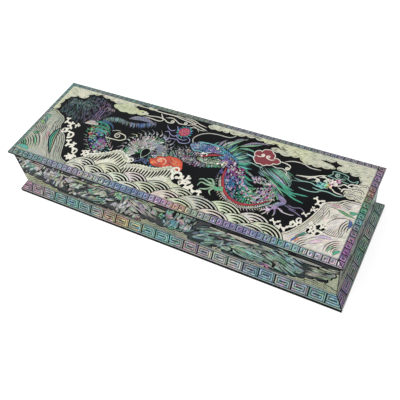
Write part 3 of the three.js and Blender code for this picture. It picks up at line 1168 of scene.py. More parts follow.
def lid_mist(sheet):
    """Long light lines of mist along the back"""
    pale = mix(IVORY, GREY, 0.22)
    lines = [
        (
            [
                (-70, 41.4), (-58, 41.8), (-44, 41), (-32, 41.4), (-24, 40), (-14, 38.6), (-4, 36.4),
                (4, 34.4)
            ],
            1.0, None
        ),
        ([(-64, 34.4), (-54, 33.4), (-46, 34.8), (-39, 34.4), (-34, 32), (-30, 32.2)], 0.95, (1.9, 1)),
        ([(-58, 30.8), (-50, 31), (-42, 30.6), (-39, 33), (-42, 36.8), (-44.4, 39.6)], 0.95, None),
        ([(-38, 36.6), (-32, 38), (-27, 36), (-23, 34.2), (-18, 34.6)], 0.9, (1.7, 1)),
        ([(-31, 42.6), (-24, 41.8), (-15, 40.8), (-9, 39)], 0.8, None),
        ([(-22, 43), (-12, 42), (-6, 39.6), (2, 38.2)], 0.7, None),
        ([(-16, 34.4), (-12, 37), (-8, 41)], 0.8, None),
        ([(-13, 32), (-8, 34.4), (-2, 33.4), (2, 34)], 0.7, None),
        ([(-60, 43), (-54, 42.2), (-50, 42.8)], 1.6, None),
        ([(-12, 36.4), (-6, 34.4), (-2, 30.6)], 0.5, None),
    ]
    for points, width, curl in lines:
        line_curl(sheet, points, width, pale, curl, "clouds")
    for x, y in ((-57, 42.2), (-59, 35.6)):
        sheet.lay(disc((x, y), 1.7, 12), "clouds", CREAM, 0.02)
        sheet.lay(disc((x + 2.3, y - 0.4), 1.2, 10), "clouds", CREAM, 0.02)


def lid_far_clouds(sheet):
    """The scrolled clouds at the back right, drawn as light outlines on black"""
    teal = mix(IVORY, TEAL, 0.55)
    white = mix(IVORY, GREY, 0.2)
    edge = smooth(
        [
            (113.4, 24), (116.4, 27), (116, 29.8), (122, 30.4), (128, 29), (128.6, 26), (133, 24.6),
            (136, 27), (135.6, 24), (133, 22), (126, 22.6), (120, 23.4), (113.4, 24)
        ],
        5
    )
    sheet.bare(edge)
    shell_line(sheet, edge, np.full(len(edge), 0.6), "lines", teal)
    rock_strokes(
        sheet, [(117, 25), (117.6, 29), (127, 28), (127, 25)], count=40, lean=20,
        colours=[mix(TEAL, INK, 0.55), mix(GREEN, INK, 0.5)], group="lines", length=(1, 3), width=0.6
    )
    line_curl(sheet, [(127, 25), (123, 24.2), (119.6, 25.6)], 0.6, mix(IVORY, TEAL, 0.35), (1.9, -1))
    patches = [
        ((110, 13.4), CYAN), ((113, 16), mix(GREEN, CYAN, 0.4)), ((116.6, 14.6), GOLD),
        ((119, 17.4), PINK), ((121.4, 20.6), ROSE), ((117.4, 20.4), mix(PINK, IVORY, 0.4)),
        ((114, 19), white), ((113, 12.4), TEAL),
    ]
    for spot, colour in patches:
        rock_strokes(
            sheet, disc(spot, 2.5, 9), count=12, lean=15, colours=[colour, mix(colour, IVORY, 0.4)],
            group="lines", length=(1.2, 2.6), width=1.1
        )
    lines = [
        ([(91, 16), (98, 17.4), (104, 19.6), (109, 22.4), (113, 22)], 0.8, None, white),
        ([(100, 15.4), (104, 18.4), (108, 18.4)], 0.9, (1.7, -1), white),
        ([(108, 20.4), (113, 21.6), (117, 18.6), (121, 19.6)], 0.9, (1.6, -1), white),
        ([(113, 24), (108, 22), (103, 18), (96, 16.4)], 0.7, None, white),
        ([(120, 16.4), (125, 17.8), (127.6, 20.4), (133, 18.4)], 0.85, (1.6, -1), white),
        ([(118, 14), (121, 12.6), (124, 10.6), (130, 10)], 0.8, None, white),
        ([(124, 16), (128, 15), (133, 17)], 0.8, (1.4, 1), white),
        ([(91, 13), (97, 12.2), (104, 13), (110, 11.4), (118, 12)], 0.75, None, teal),
        ([(107, 9), (112, 8.4), (119, 9), (126, 7.8), (131, 9)], 0.8, None, teal),
        ([(97, 5.4), (104, 4.6), (110, 5.4), (114, 7.8)], 0.7, None, teal),
        ([(104, 14.6), (110, 16.4), (116, 12.4)], 0.6, None, teal),
        ([(88, 10), (93, 10.6), (99, 12)], 0.5, None, mix(teal, INK, 0.3)),
    ]
    for points, width, curl, colour in lines:
        line_curl(sheet, points, width, colour, curl)
    # White scrolls where the bank comes down to the right edge
    for scroll, coil in (
        ([(131, 20), (134.6, 22.4), (138.6, 21.6), (141, 24), (144.6, 23)], ((139.4, 19.4), 2.0, 1)),
        ([(128, 13), (131, 16.6), (135.4, 15.6), (138.6, 18), (143, 16)], ((134.2, 13.4), 1.9, -1)),
        ([(131, 9.4), (135, 11.6), (139.6, 10.6), (144, 12)], ((140.8, 12.6), 1.6, 1)),
    ):
        path = lobes(scroll, 0.3, 6)
        sheet.bare(ribbon(path, 2.2))
        sheet.lay(ribbon(path, 1.1), "clouds", IVORY, 0.02)
        heart, size, way = coil
        line = spiral(heart, size, 0.4, 90, way * 1.2, 16)
        sheet.bare(ribbon(line, 1.3))
        sheet.lay(ribbon(line, 0.7), "clouds", IVORY, 0.02)


def rim_and_lines(sheet, edge, depths, width, rim=1.1):
    """A light rim along the right side of a wave's edge, and dark lines that repeat it further in"""
    side = directions(edge)[1]
    sheet.bare(ribbon(edge - side * (rim + 0.25), 0.5))
    for number, depth in enumerate(depths):
        skip = 2 + 3 * (number % 3)
        line = (edge - side * depth)[skip : len(edge) - skip]
        thin_line(sheet, line, width)


def fan(sheet, heart, radii, start, stop, width, squash=1.0):
    """Dark arcs inside one another, as the curl of a wave is engraved"""
    for radius in radii:
        line = arc((0, 0), radius, start, stop, 16) * (1, squash) + heart
        thin_line(sheet, line, width)


def lid_left_wave(sheet):
    """The tall swell at the left, its crest thrown up in foam"""
    w, h = LID_HALF
    edge = smooth(
        [
            (-w, 9.6), (-139, 9.6), (-134, 7), (-128, 4.4), (-124.4, 0), (-123.4, -6), (-119, -11),
            (-113, -14.6), (-108, -21), (-104.6, -28), (-101, -35), (-95, -40), (-87, -42), (-78, -43.4)
        ],
        8
    )
    sheet.bare(np.vstack((edge + (0.7, 0.6), [(-78, -h - 1), (-w - 1, -h - 1)])))
    body = mix(mix(CREAM, MOSS, 0.4), GREY, 0.55)
    sheet.lay(np.vstack((edge, [(-78, -h - 1), (-w - 1, -h - 1)])), "waves", body, 0.0)
    rim_and_lines(sheet, edge, [2.9, 4.8, 7.2, 10.0, 13.0], 0.55)
    crown = smooth([(-w, 6.6), (-141, 8.4), (-137, 6), (-139, 3), (-w, 2)], 5)
    sheet.bare(ribbon(crown, 0.3))
    for points, width in (
        ([(-133, 6), (-130, 0), (-130.6, -8), (-127, -18), (-120, -30), (-113, -42)], 0.5),
        ([(-138, 4), (-135, -3), (-135.6, -9), (-131, -19), (-124, -31), (-118, -42)], 0.4),
        ([(-128, 2), (-126.4, -6), (-125, -14), (-121, -23), (-115, -34), (-110, -42)], 0.6),
        ([(-142, 5), (-140, -3), (-140, -9)], 0.4),
        ([(-117, -14), (-113, -22), (-110, -31), (-107, -38), (-102, -42.6)], 0.5),
        ([(-112, -17), (-109, -25), (-106, -33), (-100, -41)], 0.45),
        ([(-124, -24), (-120, -30), (-119, -37)], 0.3),
        ([(-131, -22), (-128, -27), (-127, -33)], 0.3),
    ):
        thin_line(sheet, smooth(points, 6), width)
    for points, colour, width in (
        ([(-147, 2), (-143, 0), (-139, 1)], mix(GREEN, GREY, 0.3), 3.0),
        ([(-147, -5), (-143, -8), (-139, -9.6)], mix(GREEN, GOLD, 0.35), 3.4),
        ([(-144, 0), (-142, -4), (-138.6, -8)], mix(TEAL, GREY, 0.4), 2.0),
        ([(-147, -33), (-143, -35), (-139, -38)], mix(GREEN, GREY, 0.2), 3.6),
        ([(-146, -41), (-140, -39.6), (-132, -42)], mix(CYAN, GREEN, 0.4), 4.4),
        ([(-144, -22), (-139, -21.4), (-136, -18)], mix(GREEN, CREAM, 0.15), 2.6),
        ([(-139, -25), (-134, -30), (-129, -36)], mix(GREEN, CREAM, 0.3), 1.4),
        ([(-131, -14), (-128, -20), (-124, -27)], mix(ROSE, CREAM, 0.5), 1.4),
    ):
        set_strip(sheet, smooth(points, 8), width, 1.0, "waves", colour, 0.1)
    # A long dark hollow in the swell, with green blades in it
    leaf = smooth([(-121.6, -8), (-122, -14), (-121, -22), (-116, -31), (-111, -40)], 8)
    sheet.bare(ribbon(leaf, taper(len(leaf), 7.0, 0.45)))
    for lean, colour, width in (
        (-1.9, TEAL, 1.0), (0.1, mix(TEAL, GREEN, 0.6), 1.2), (2.1, mix(CREAM, GREY, 0.4), 0.7)
    ):
        count = len(leaf) - 6
        swing = np.sin(np.linspace(0, math.pi, count)) * lean
        blade = leaf[3:-3] + np.column_stack((swing, np.zeros(count)))
        sheet.lay(ribbon(blade, taper(len(blade), width, 0.5)), "waves", colour, 0.1)
    for heart, radii, start, stop, width, squash in (
        ((-148, -18), (4.4, 6.2, 8.0, 9.8, 11.6, 13.4), -38, 70, 0.8, 0.95),
        ((-150, -42), (7.4, 9.6, 11.8, 14.0, 16.2, 18.6, 21.2, 24.0), 8, 74, 0.85, 0.98),
    ):
        fan(sheet, heart, radii, start, stop, width, squash)
    curl = arc((-150, -42), 25.4, 10, 60, 18) * (1, 0.98)
    sheet.lay(ribbon(curl, taper(len(curl), 1.2, 0.5)), "waves", mix(CREAM, ROSE, 0.35), 0.02)
    hollow = smooth(
        [(-103, -31.6), (-99.6, -37.4), (-94, -40.4), (-89, -38.6), (-88, -34), (-90.6, -30.6), (-94, -29)],
        6
    )
    sheet.bare(hollow)
    foam_line(sheet, [
        (-122.4, -2, 60, 6.4), (-117.4, -4.4, 30, 6.0), (-118.6, -12, 64, -6.0),
        (-114.6, -12, 70, 5.2), (-111.4, -1, 10, 4.0), (-109, -16.4, 78, -8.0),
        (-103.4, -26, 74, 7.2), (-99.6, -25.6, 40, 6.0), (-95.6, -27, -24, 6.8),
        (-97, -36, 20, 4.8), (-93, -38.4, 60, 5.0), (-90, -31, -60, -7.0),
    ])


def lid_right_wave(sheet):
    """The swell that climbs to the right, with its own foam"""
    w, h = LID_HALF
    edge = smooth(
        [
            (90, -43.4), (98, -41), (105, -36), (110, -29), (114.6, -20), (118, -10), (119.6, -3),
            (123, 0.4), (129, 3.2), (134, 6.6), (w, 7.6)
        ],
        8
    )
    sheet.bare(np.vstack((edge + (-0.6, 0.7), [(w + 1, -h - 1), (90, -h - 1)])))
    body = mix(IVORY, mix(PINK, GREY, 0.4), 0.2)
    sheet.lay(np.vstack((edge, [(w + 1, -h - 1), (90, -h - 1)])), "waves", body, 0.0)
    rim_and_lines(sheet, edge, [2.5, 3.9, 5.4, 7.0], 0.4)
    for points, width in (
        ([(123, -3), (130, -3.6), (137, -4.6), (w, -8)], 0.7),
        ([(127, -21), (131, -14), (137, -10), (w, -9)], 0.7),
        ([(120, -32), (127, -27), (135, -27.6), (w, -25)], 0.6),
        ([(111, -41), (113, -36), (118, -32)], 0.7),
        ([(118, -42), (121, -36), (128, -31), (136, -29)], 0.5),
        ([(121, -6), (123, -12), (122.4, -18)], 0.4),
        ([(124.6, -5), (127, -10), (126.4, -16)], 0.4),
    ):
        thin_line(sheet, smooth(points, 6), width)
    for heart, radii, start, stop, width, squash in (
        ((141, -3), (3.6, 5.0, 6.4, 7.8, 9.4, 11.2), 96, 176, 0.6, 0.95),
        ((147, -19), (4.0, 5.8, 7.6, 9.4), 112, 214, 0.8, 1.15),
        ((144.6, -40), (3.0, 4.6, 6.2, 7.8, 9.4, 11.2), 92, 196, 0.75, 0.95),
        ((123, -46), (5.0, 6.8, 8.6, 10.4, 12.4), 104, 172, 0.75, 1.05),
        ((136, -13), (4.2, 5.6, 7.0), 100, 190, 0.5, 0.8),
    ):
        fan(sheet, heart, radii, start, stop, width, squash)
    for k in range(11):
        x = 127.4 + 1.35 * k
        slit = smooth([(x + 1.2, -21 + 0.14 * k), (x + 0.5, -24.6), (x - 0.4, -27.6)], 4)
        sheet.bare(ribbon(slit, taper(len(slit), 0.42, 0.6)))
    for points, colour, width in (
        ([(130, -3.6), (137, -5.6), (w + 1, -7.4)], mix(GREEN, GOLD, 0.25), 1.7),
        ([(139, -2.6), (142, -3.4), (w + 1, -2)], mix(GREEN, CYAN, 0.3), 2.6),
        ([(141.6, -9.6), (143.6, -13), (143, -18)], mix(BLUE, INK, 0.15), 2.2),
        ([(124, -1.4), (129, -1), (134, -2.4)], mix(ROSE, CREAM, 0.3), 1.1),
        ([(113.6, -37), (116, -33.4), (119, -32.4)], TEAL, 1.6),
        ([(112, -42), (114, -39.6), (116, -38)], mix(ORANGE, CREAM, 0.5), 1.6),
        ([(110, -43), (111.6, -40), (112.6, -38)], BLUE, 1.3),
        ([(136, -42), (137, -38), (139.6, -35.6)], mix(GREEN, CREAM, 0.35), 1.4),
        ([(141, -43), (142, -39.6), (w, -37.6)], mix(TEAL, GREEN, 0.4), 2.0),
        ([(124, -34), (130, -30.6), (138, -30.4)], mix(VIOLET, IVORY, 0.62), 2.2),
        ([(121, -41), (126, -36.6), (132, -34)], mix(PINK, IVORY, 0.35), 2.6),
    ):
        set_strip(sheet, smooth(points, 8), width, 0.7, "waves", colour, 0.08)
    foam_line(sheet, [
        (116, -4, 96, 5.4), (119.6, -6.6, 120, 5.0), (111.6, -25, 140, 5.6),
        (112.8, -18.6, 120, 4.0), (117, -12, 130, 3.8), (98, -38.6, 100, 5.6),
        (103, -37, 118, 6.0), (94.6, -34, 110, 5.0), (105, -31, 80, -5.8),
        (109.6, -29, 120, 5.0),
    ])
    for x, y, turn, size in (
        (123, -30, 80, 5.2), (125.4, -25, 70, 5.0), (121.6, -26, 110, 4.4), (119, -31, 60, 4.6)
    ):
        sheet.bare(disc((x + 0.6, y + 1.6), size * 0.62, 10))
        sprig(sheet, (x, y), turn, size)


def lid_crests(sheet):
    """The breaking crests behind the swells"""
    first = smooth(
        [
            (-82, -31), (-78, -26.4), (-70, -22), (-63, -18.6), (-58.6, -14.4), (-53.6, -12.4),
            (-49.4, -14), (-46, -17), (-42, -18.4), (-39.4, -22)
        ],
        8
    )
    comb_crest(sheet, first, floor=-40, slits=18, lean=-0.34, colour=mix(CREAM, IVORY, 0.5))
    hook(sheet, (-41, -21.6), 60, 5.4, 1)
    second = smooth(
        [
            (-42, -25), (-36, -22.4), (-29, -20.6), (-21, -20), (-14, -18.4), (-9, -15), (-5, -12.8),
            (-1, -13.6), (1, -17), (1.6, -22)
        ],
        8
    )
    comb_crest(sheet, second, floor=-40, slits=20, lean=-0.1, colour=mix(CREAM, IVORY, 0.5))
    hook(sheet, (0, -18), 66, 7.0, 1)
    hook(sheet, (3.6, -24), 70, 9.0, 1)
    shoulder = smooth([(0, -23), (5, -27), (11, -27.8), (17, -30), (24, -33)], 8)
    sheet.bare(np.vstack((shoulder + (0, 0.6), [(24, -44), (-4, -44)])))
    sheet.lay(np.vstack((shoulder, [(24, -44), (-4, -44)])), "waves", mix(CREAM, LIME, 0.3), 0.0)
    foam_line(sheet, [
        (12, -25.6, 84, 7.6), (15, -29.4, 50, 6.4), (10.4, -27, 100, -4.6),
        (24.4, -32, 96, 7.4), (28.6, -33, 54, 5.6), (33, -33.4, 30, 3.8),
        (19, -31, 120, 4.4), (-46, -17.6, 60, 3.6),
    ])
    for x, y in ((-82, -30), (-78.6, -34), (-82, -36.6), (-79.6, -39), (-84, -40.6), (-86, -33)):
        sheet.bare(disc((x, y), 0.8, 8))
    for x, y, turn, size in ((-84, -29.6, 60, 5.0), (-79, -28, 80, 4.6), (-74, -25.6, 80, 4.0)):
        sprig(sheet, (x, y), turn, size)


def lid_swells(sheet):
    """The rows of striped swells along the front"""
    cream = mix(CREAM, IVORY, 0.3)
    rows = [
        (-76, -30.6, 15, 15, 6), (-52, -28.6, 15, 14, 6), (-27, -28.8, 15, 14, 6), (-4, -29.6, 14, 13, 6),
        (17, -29.4, 14, 13, 6), (54, -28.6, 18, 16, 7), (79, -30, 16, 15, 6), (-64, -35.4, 14, 12, 5),
        (-40, -34.4, 14, 12, 5), (-14, -34.8, 15, 12, 5), (8, -35.6, 14, 11, 4), (34, -31.6, 20, 15, 7),
        (67, -35.8, 15, 12, 5), (90, -35, 15, 12, 5), (-80, -39.4, 11, 8, 3), (-52, -39.6, 12, 8, 3),
        (-27, -40, 13, 8, 3), (20, -39.6, 13, 8, 3), (49, -39, 14, 9, 3), (80, -40.4, 12, 7, 3),
    ]
    for number, (x, top, half, height, stripes) in enumerate(rows):
        colour = (cream, mix(cream, LIME, 0.35), mix(cream, PINK, 0.25), mix(cream, GREY, 0.2))[number % 4]
        swell(sheet, x, top, half, height, stripes, colour)


def lid_picture():
    """All of the picture, from what lies at its back to what lies in front"""
    sheet = Sheet(LID_SEED)
    lid_clouds(sheet)
    lid_rocks(sheet)
    lid_mist(sheet)
    lid_back_ridge(sheet)
    lid_far_clouds(sheet)
    lid_tail(sheet)
    lid_hump(sheet)
    lid_neck(sheet)
    lid_haunch(sheet)
    lid_coil(sheet)
    lid_forefoot(sheet)
    lid_head(sheet)
    lid_pearl(sheet)
    lid_red_clouds(sheet)
    lid_left_wave(sheet)
    lid_right_wave(sheet)
    lid_crests(sheet)
    lid_swells(sheet)
    return sheet


# The fret borders

STRIP_LENGTH = 3.6  # about how long one piece of shell in a fret is


def key_path(width, height, pitch):
    """A square spiral that winds in from the lower left corner of a unit"""
    x0, x1, y0, y1 = 0.0, width, 0.0, height
    path = [(x0, y0)]
    while x1 - x0 > pitch * 0.7 and y1 - y0 > pitch * 0.25:
        path += [(x1, y0), (x1, y1)]
        if y1 - y0 < pitch:
            break
        path.append((x0, y1))
        y0 += pitch
        path.append((x0, y0))
        x0 += pitch
        x1 -= pitch
        y1 -= pitch
    return path


def straight(sheet, start, end, width, hue, lift):
    """A straight strip between two corners, in lengths of shell whose hues differ"""
    half = width / 2
    left, right = min(start[0], end[0]) - half, max(start[0], end[0]) + half
    low, high = min(start[1], end[1]) - half, max(start[1], end[1]) + half
    pieces = max(1, round((right - left) / STRIP_LENGTH))
    for k in range(pieces):
        x0, x1 = left + (right - left) * k / pieces, left + (right - left) * (k + 1) / pieces
        colour = mix(hue((x0 + x1) / 2, (low + high) / 2), CREAM, lift)
        sheet.lay([(x0, low), (x1, low), (x1, high), (x0, high)], "fret", colour, 0.16)


def fret_border(length, height, hues, seed, repeat, line, pitch, edge, dim, lift):
    """A sloping border: a row of square spirals between two light lines. Its hue drifts along it.
    repeat is the length of one spiral, pitch the distance of its turns, dim how dark the bed is,
    and lift how light its strips are."""
    sheet = Sheet(seed)
    reach = length / 2
    gap = pitch - line
    inner = height - 2 * edge - 2 * gap
    units = max(3, round(length / repeat))
    step = length / units
    post = line * 0.6

    def hue(x, y):
        share = (x + reach) / length + 0.03 * math.sin(1.7 * y + 0.23 * x)
        other = blend_stops(hues[::-1], (share * 3.7 + 0.12 * y) % 1)
        return mix(blend_stops(hues, share), other, 0.22 + 0.2 * math.sin(0.37 * x + 1.3 * y))

    base = edge + gap
    for k in range(units):
        x = -reach + k * step
        # A darker bed for the strips, in blocks, so that the gaps are deep in colour but not black
        for block in range(3):
            x0 = x + gap * 0.5 + (step - gap) * block / 3
            x1 = x + gap * 0.5 + (step - gap) * (block + 1) / 3
            bed = mix(hue((x0 + x1) / 2 + 3, 4), INK, dim)
            sheet.lay(
                [(x0, edge + 0.2), (x1, edge + 0.2), (x1, height - edge - 0.2), (x0, height - edge - 0.2)],
                "fret", bed, 0.1
            )
        width = step - 3 * gap - post - line
        corners = []
        for u, v in key_path(width, inner - line, pitch):
            if k % 2:
                u, v = width - u, inner - line - v
            corners.append((x + gap + line / 2 + u, base + line / 2 + v))
        for start, end in zip(corners, corners[1:]):
            straight(sheet, start, end, line, hue, lift)
        right = x + step - gap - post / 2
        straight(sheet, (right, base + post / 2), (right, height - base - post / 2), post, hue, lift)
    for low, high in ((0.2, edge), (height - edge, height - 0.2)):
        cursor = -reach
        while cursor < reach:
            end = min(cursor + sheet.random.uniform(5, 12), reach)
            colour = mix(mix(CREAM, GREY, 0.35), hue(cursor + 9, low), 0.75 - lift)
            sheet.lay(
                [(cursor, low), (end - 0.1, low), (end - 0.1, high), (cursor, high)], "fret", colour, 0.06
            )
            cursor = end
    return sheet


# The landscape on the walls

BANK_FOOT = 19  # how far under the middle of the wall the banks are drawn to


def patch(left, right, low, high, skew):
    """A ragged six-sided piece of ground that leans to the right by skew"""
    middle = (low + high) / 2
    corners = [(left, low), (right - skew, low + 0.8), (right, middle), (right - 1, high)]
    return np.array(corners + [(left + skew, high - 0.6), (left - 1, middle)])


def hillside(sheet, outline, lean, base, lights, cuts=0.05, slivers=0.1):
    """Ground in one large piece, cut by dark slivers and set with pale ones that all run one way"""
    sheet.lay(outline, "land", mix(base, INK, 0.66), 0.06)
    area = np.prod(np.ptp(outline, axis=0)) * 0.8
    rock_strokes(
        sheet, outline, count=int(area * cuts), lean=lean, colours=None, group="land", length=(7.0, 17.0),
        width=1.8
    )
    glow = 0.8 if outline[:, 0].min() < -4 else 0.42
    lights = [mix(light, IVORY, glow) for light in lights]
    rock_strokes(
        sheet, outline, count=int(area * slivers), lean=lean, colours=lights, group="land",
        length=(6.0, 17.0), width=1.7
    )


def bank(sheet, points, floor, colour, lines=4, bulge=0.26):
    """A bank of cloud on the foot of a wall, with a dark line round it and lines in its lobes"""
    points = points[::-1]
    edge = lobes(points, bulge, 6)[::-1]
    ends = [(points[0][0], floor), (points[-1][0], floor)]
    sheet.bare(ribbon(edge, 2.4))
    sheet.bare(np.vstack((edge, ends)))
    sheet.lay(np.vstack((edge, ends)), "bank", colour, 0.03)
    points = np.asarray(points, float)
    for drop, width in ((2.2, 1.0), (4.8, 0.9), (7.6, 0.8), (10.6, 0.7))[:lines]:
        line = lobes(points * (1, 1) - (0, drop), bulge, 6)
        line = line[line[:, 1] > floor]
        if len(line) > 8:
            skip = int(len(line) * 0.06)
            line = line[skip : len(line) - skip]
            sheet.bare(ribbon(line, taper(len(line), width, 0.5, 0.3)))


def band(sheet, left, right, y, thick, colour):
    """A thin cloud high on the wall, with a dark edge"""
    top = [(left, y), (left + (right - left) * 0.35, y + 0.5), (right, y - 0.2)]
    low = smooth([(right, y - 1.0), ((left + right) / 2, y - thick), (left, y - 0.9)], 6)
    loop = np.vstack((top, low))
    sheet.bare((loop - loop.mean(0)) * (1.06, 2.0) + loop.mean(0))
    sheet.lay(loop, "bank", colour, 0.05)
    if thick > 2:
        fold = [(left + 2, y - 0.6), ((left + right) / 2, y - thick * 0.6), (right - 2, y - 0.8)]
        thin_line(sheet, smooth(fold, 5), 0.3)


def stream(sheet, points, width, colour):
    """A bright curved line of shell between dark ones"""
    path = smooth(points, 6)
    thin_line(sheet, path, width + 1.6)
    sheet.lay(ribbon(path, taper(len(path), 1.3 * width, 0.5)), "land", mix(colour, IVORY, 0.3), 0.08)


def wall_picture(width, height, seed, mirror, shift):
    """Hills, streams and cloud banks along a long wall. A short wall shows a stretch of it."""
    sheet = Sheet(seed)
    floor = -height / 2
    pearl = mix(GREY, CREAM, 0.55)
    lilac = mix(GREY, VIOLET, 0.28)
    jade = mix(TEAL, CREAM, 0.28)
    stone = mix(GREY, SLATE, 0.5)
    deep = mix(SLATE, INK, 0.35)
    blush = mix(ROSE, CREAM, 0.45)
    sea = mix(TEAL, SLATE, 0.5)
    bright = mix(GREEN, CYAN, 0.45)

    x = -149.0
    while x < 148:
        end = x + sheet.random.uniform(9, 18)
        lean = sheet.random.uniform(-3, 3)
        ground = [(x, floor + 0.2), (end, floor + 0.2), (end + lean, height / 2), (x + lean, height / 2)]
        sheet.lay(ground, "land", mix(sheet.random.choice((deep, sea, stone)), INK, 0.62), 0.2)
        x = end

    # Ground, from left to right: extent, lean of its strokes, colour and the colours set in it
    for left, right, low, high, skew, lean, base, lights in (
        (-150, -118, -8, 17, 8, 38, stone, [pearl, pearl, jade]),
        (-142, -124, -4, 11, 9, 42, mix(TEAL, GREY, 0.3), [jade, TEAL, pearl]),
        (-124, -96, -14, 9, 10, 52, mix(stone, VIOLET, 0.12), [lilac, pearl, lilac, stone]),
        (-100, -78, -17, 12, 12, 35, deep, [stone, lilac, blush, stone]),
        (-88, -50, -14, 6, 16, 34, sea, [jade, pearl, TEAL, jade]),
        (-74, -44, -6, 14, 12, 30, stone, [pearl, jade, stone, mix(MOSS, GREY, 0.5)]),
        (-50, -22, 2, 15, 6, 40, sea, [bright, TEAL, pearl, bright]),
        (-52, -12, -18, 3, 16, 48, mix(stone, ROSE, 0.25), [blush, pearl, blush, pearl]),
        (-22, 2, -9, 15, 6, 132, mix(stone, INK, 0.2), [lilac, pearl, stone, pearl]),
        (0, 34, -13, 12, 10, 60, mix(sea, INK, 0.15), [jade, TEAL, pearl, bright]),
        (28, 64, -18, 9, 8, 26, mix(sea, SLATE, 0.3), [mix(CYAN, GREY, 0.4), jade, stone, jade]),
        (58, 100, -4, 9, 6, 12, deep, [stone, jade, stone]),
        (62, 100, -16, -2, 8, 168, mix(sea, SLATE, 0.2), [jade, pearl, bright, stone]),
        (98, 128, -16, 11, 10, 150, mix(sea, INK, 0.2), [pearl, jade, CYAN, stone]),
        (122, 147, -8, 10, 8, 14, mix(deep, MOSS, 0.12), [mix(GREY, MOSS, 0.5), pearl, stone]),
    ):
        hillside(sheet, patch(left, right, low, high, skew), lean, base, lights)

    # Small bright stones
    for x, y, reach, lean, hue in (
        (-134, 6, 4.0, 40, TEAL), (-122, 12, 3.6, 20, blush), (-112, 2, 4.0, 60, CREAM),
        (-70, 1, 4.4, 36, bright), (-62, -8, 4.6, 36, jade), (-38, 9, 4.4, 30, GREEN),
        (-30, 11, 3.6, 30, bright), (-17, 6, 4.0, 30, VIOLET), (-24, -16, 4.0, 40, ROSE),
        (-6, -2, 4.6, 130, pearl), (-4, 9, 4.0, 100, LIME), (10, 4, 3.4, 60, ROSE), (20, 3, 3.4, 70, ROSE),
        (8, -14, 4.0, 50, GREEN), (14, -4, 4.6, 60, CYAN), (40, -2, 5.0, 30, mix(CYAN, GREY, 0.3)),
        (52, -9, 4.0, 60, jade), (84, 0, 4.4, 60, pearl), (112, 4, 4.4, 40, mix(CYAN, IVORY, 0.4)),
        (116, -5, 4.0, 20, jade), (90, -17, 3.2, 40, MAGENTA), (104, -9, 3.6, 130, pearl),
        (62, -5, 3.6, 30, mix(TEAL, CREAM, 0.5)),
    ):
        rock_strokes(
            sheet, disc((x, y), reach, 9), count=15, lean=lean, colours=[hue, mix(hue, IVORY, 0.6)],
            group="land", length=(2.0, 5.0), width=1.8
        )

    # Streams and dark gaps between the hills
    for points, thick, colour in (
        ([(-124, 6), (-118, 1), (-110, 1), (-106, 5)], 0.9, pearl),
        ([(-126, 2), (-118, -3), (-109, -2)], 0.9, lilac),
        ([(-80, -13), (-70, -12), (-60, -7), (-54, 0)], 0.9, jade),
        ([(-72, -15), (-62, -13), (-54, -8)], 0.7, pearl),
        ([(-48, -6), (-40, -11), (-32, -13)], 0.8, pearl),
        ([(-30, -8), (-24, -12), (-18, -17)], 1.2, blush),
        ([(4, -8), (14, -10), (24, -7), (32, -1)], 0.8, jade),
        ([(66, -6), (76, -9), (88, -8), (95, -5)], 1.4, jade),
        ([(70, -10), (80, -13), (90, -11)], 1.0, mix(CYAN, CREAM, 0.5)),
        ([(102, -2), (105, -9), (111, -14)], 1.3, pearl), ([(72, 3), (82, 5), (94, 2)], 0.6, stone),
        ([(124, -1), (134, 1), (144, 0)], 0.6, pearl), ([(34, 5), (46, 2), (56, 4)], 0.6, stone),
    ):
        stream(sheet, points, thick, colour)
    for points, thick in (
        ([(-150, 1), (-138, -4), (-126, -5), (-114, -12), (-102, -15), (-94, -18)], 1.5),
        ([(-98, 8), (-94, -2), (-99, -12)], 2.4), ([(-66, -10), (-58, -16), (-46, -17)], 2.6),
        ([(-92, 5), (-78, 7), (-58, 6)], 1.0), ([(-44, -12), (-36, -17), (-27, -18.6)], 2.2),
        ([(-32, -5), (-26, -8), (-20, -6)], 2.6), ([(-3, 4), (4, 1), (6, -6)], 1.8),
        ([(26, 10), (30, 2), (40, -3)], 1.2), ([(58, -16), (64, -10), (60, -3)], 2.0),
        ([(94, -4), (99, -8), (97, -15)], 3.0), ([(128, -9), (138, -6), (148, 1)], 1.6),
        ([(110, 11), (124, 9), (136, 7), (148, 2)], 1.2), ([(46, 6), (58, 4), (76, 6)], 0.9),
        ([(-12, 14), (-6, 8), (-9, 1)], 1.4),
    ):
        thin_line(sheet, smooth(points, 6), thick)

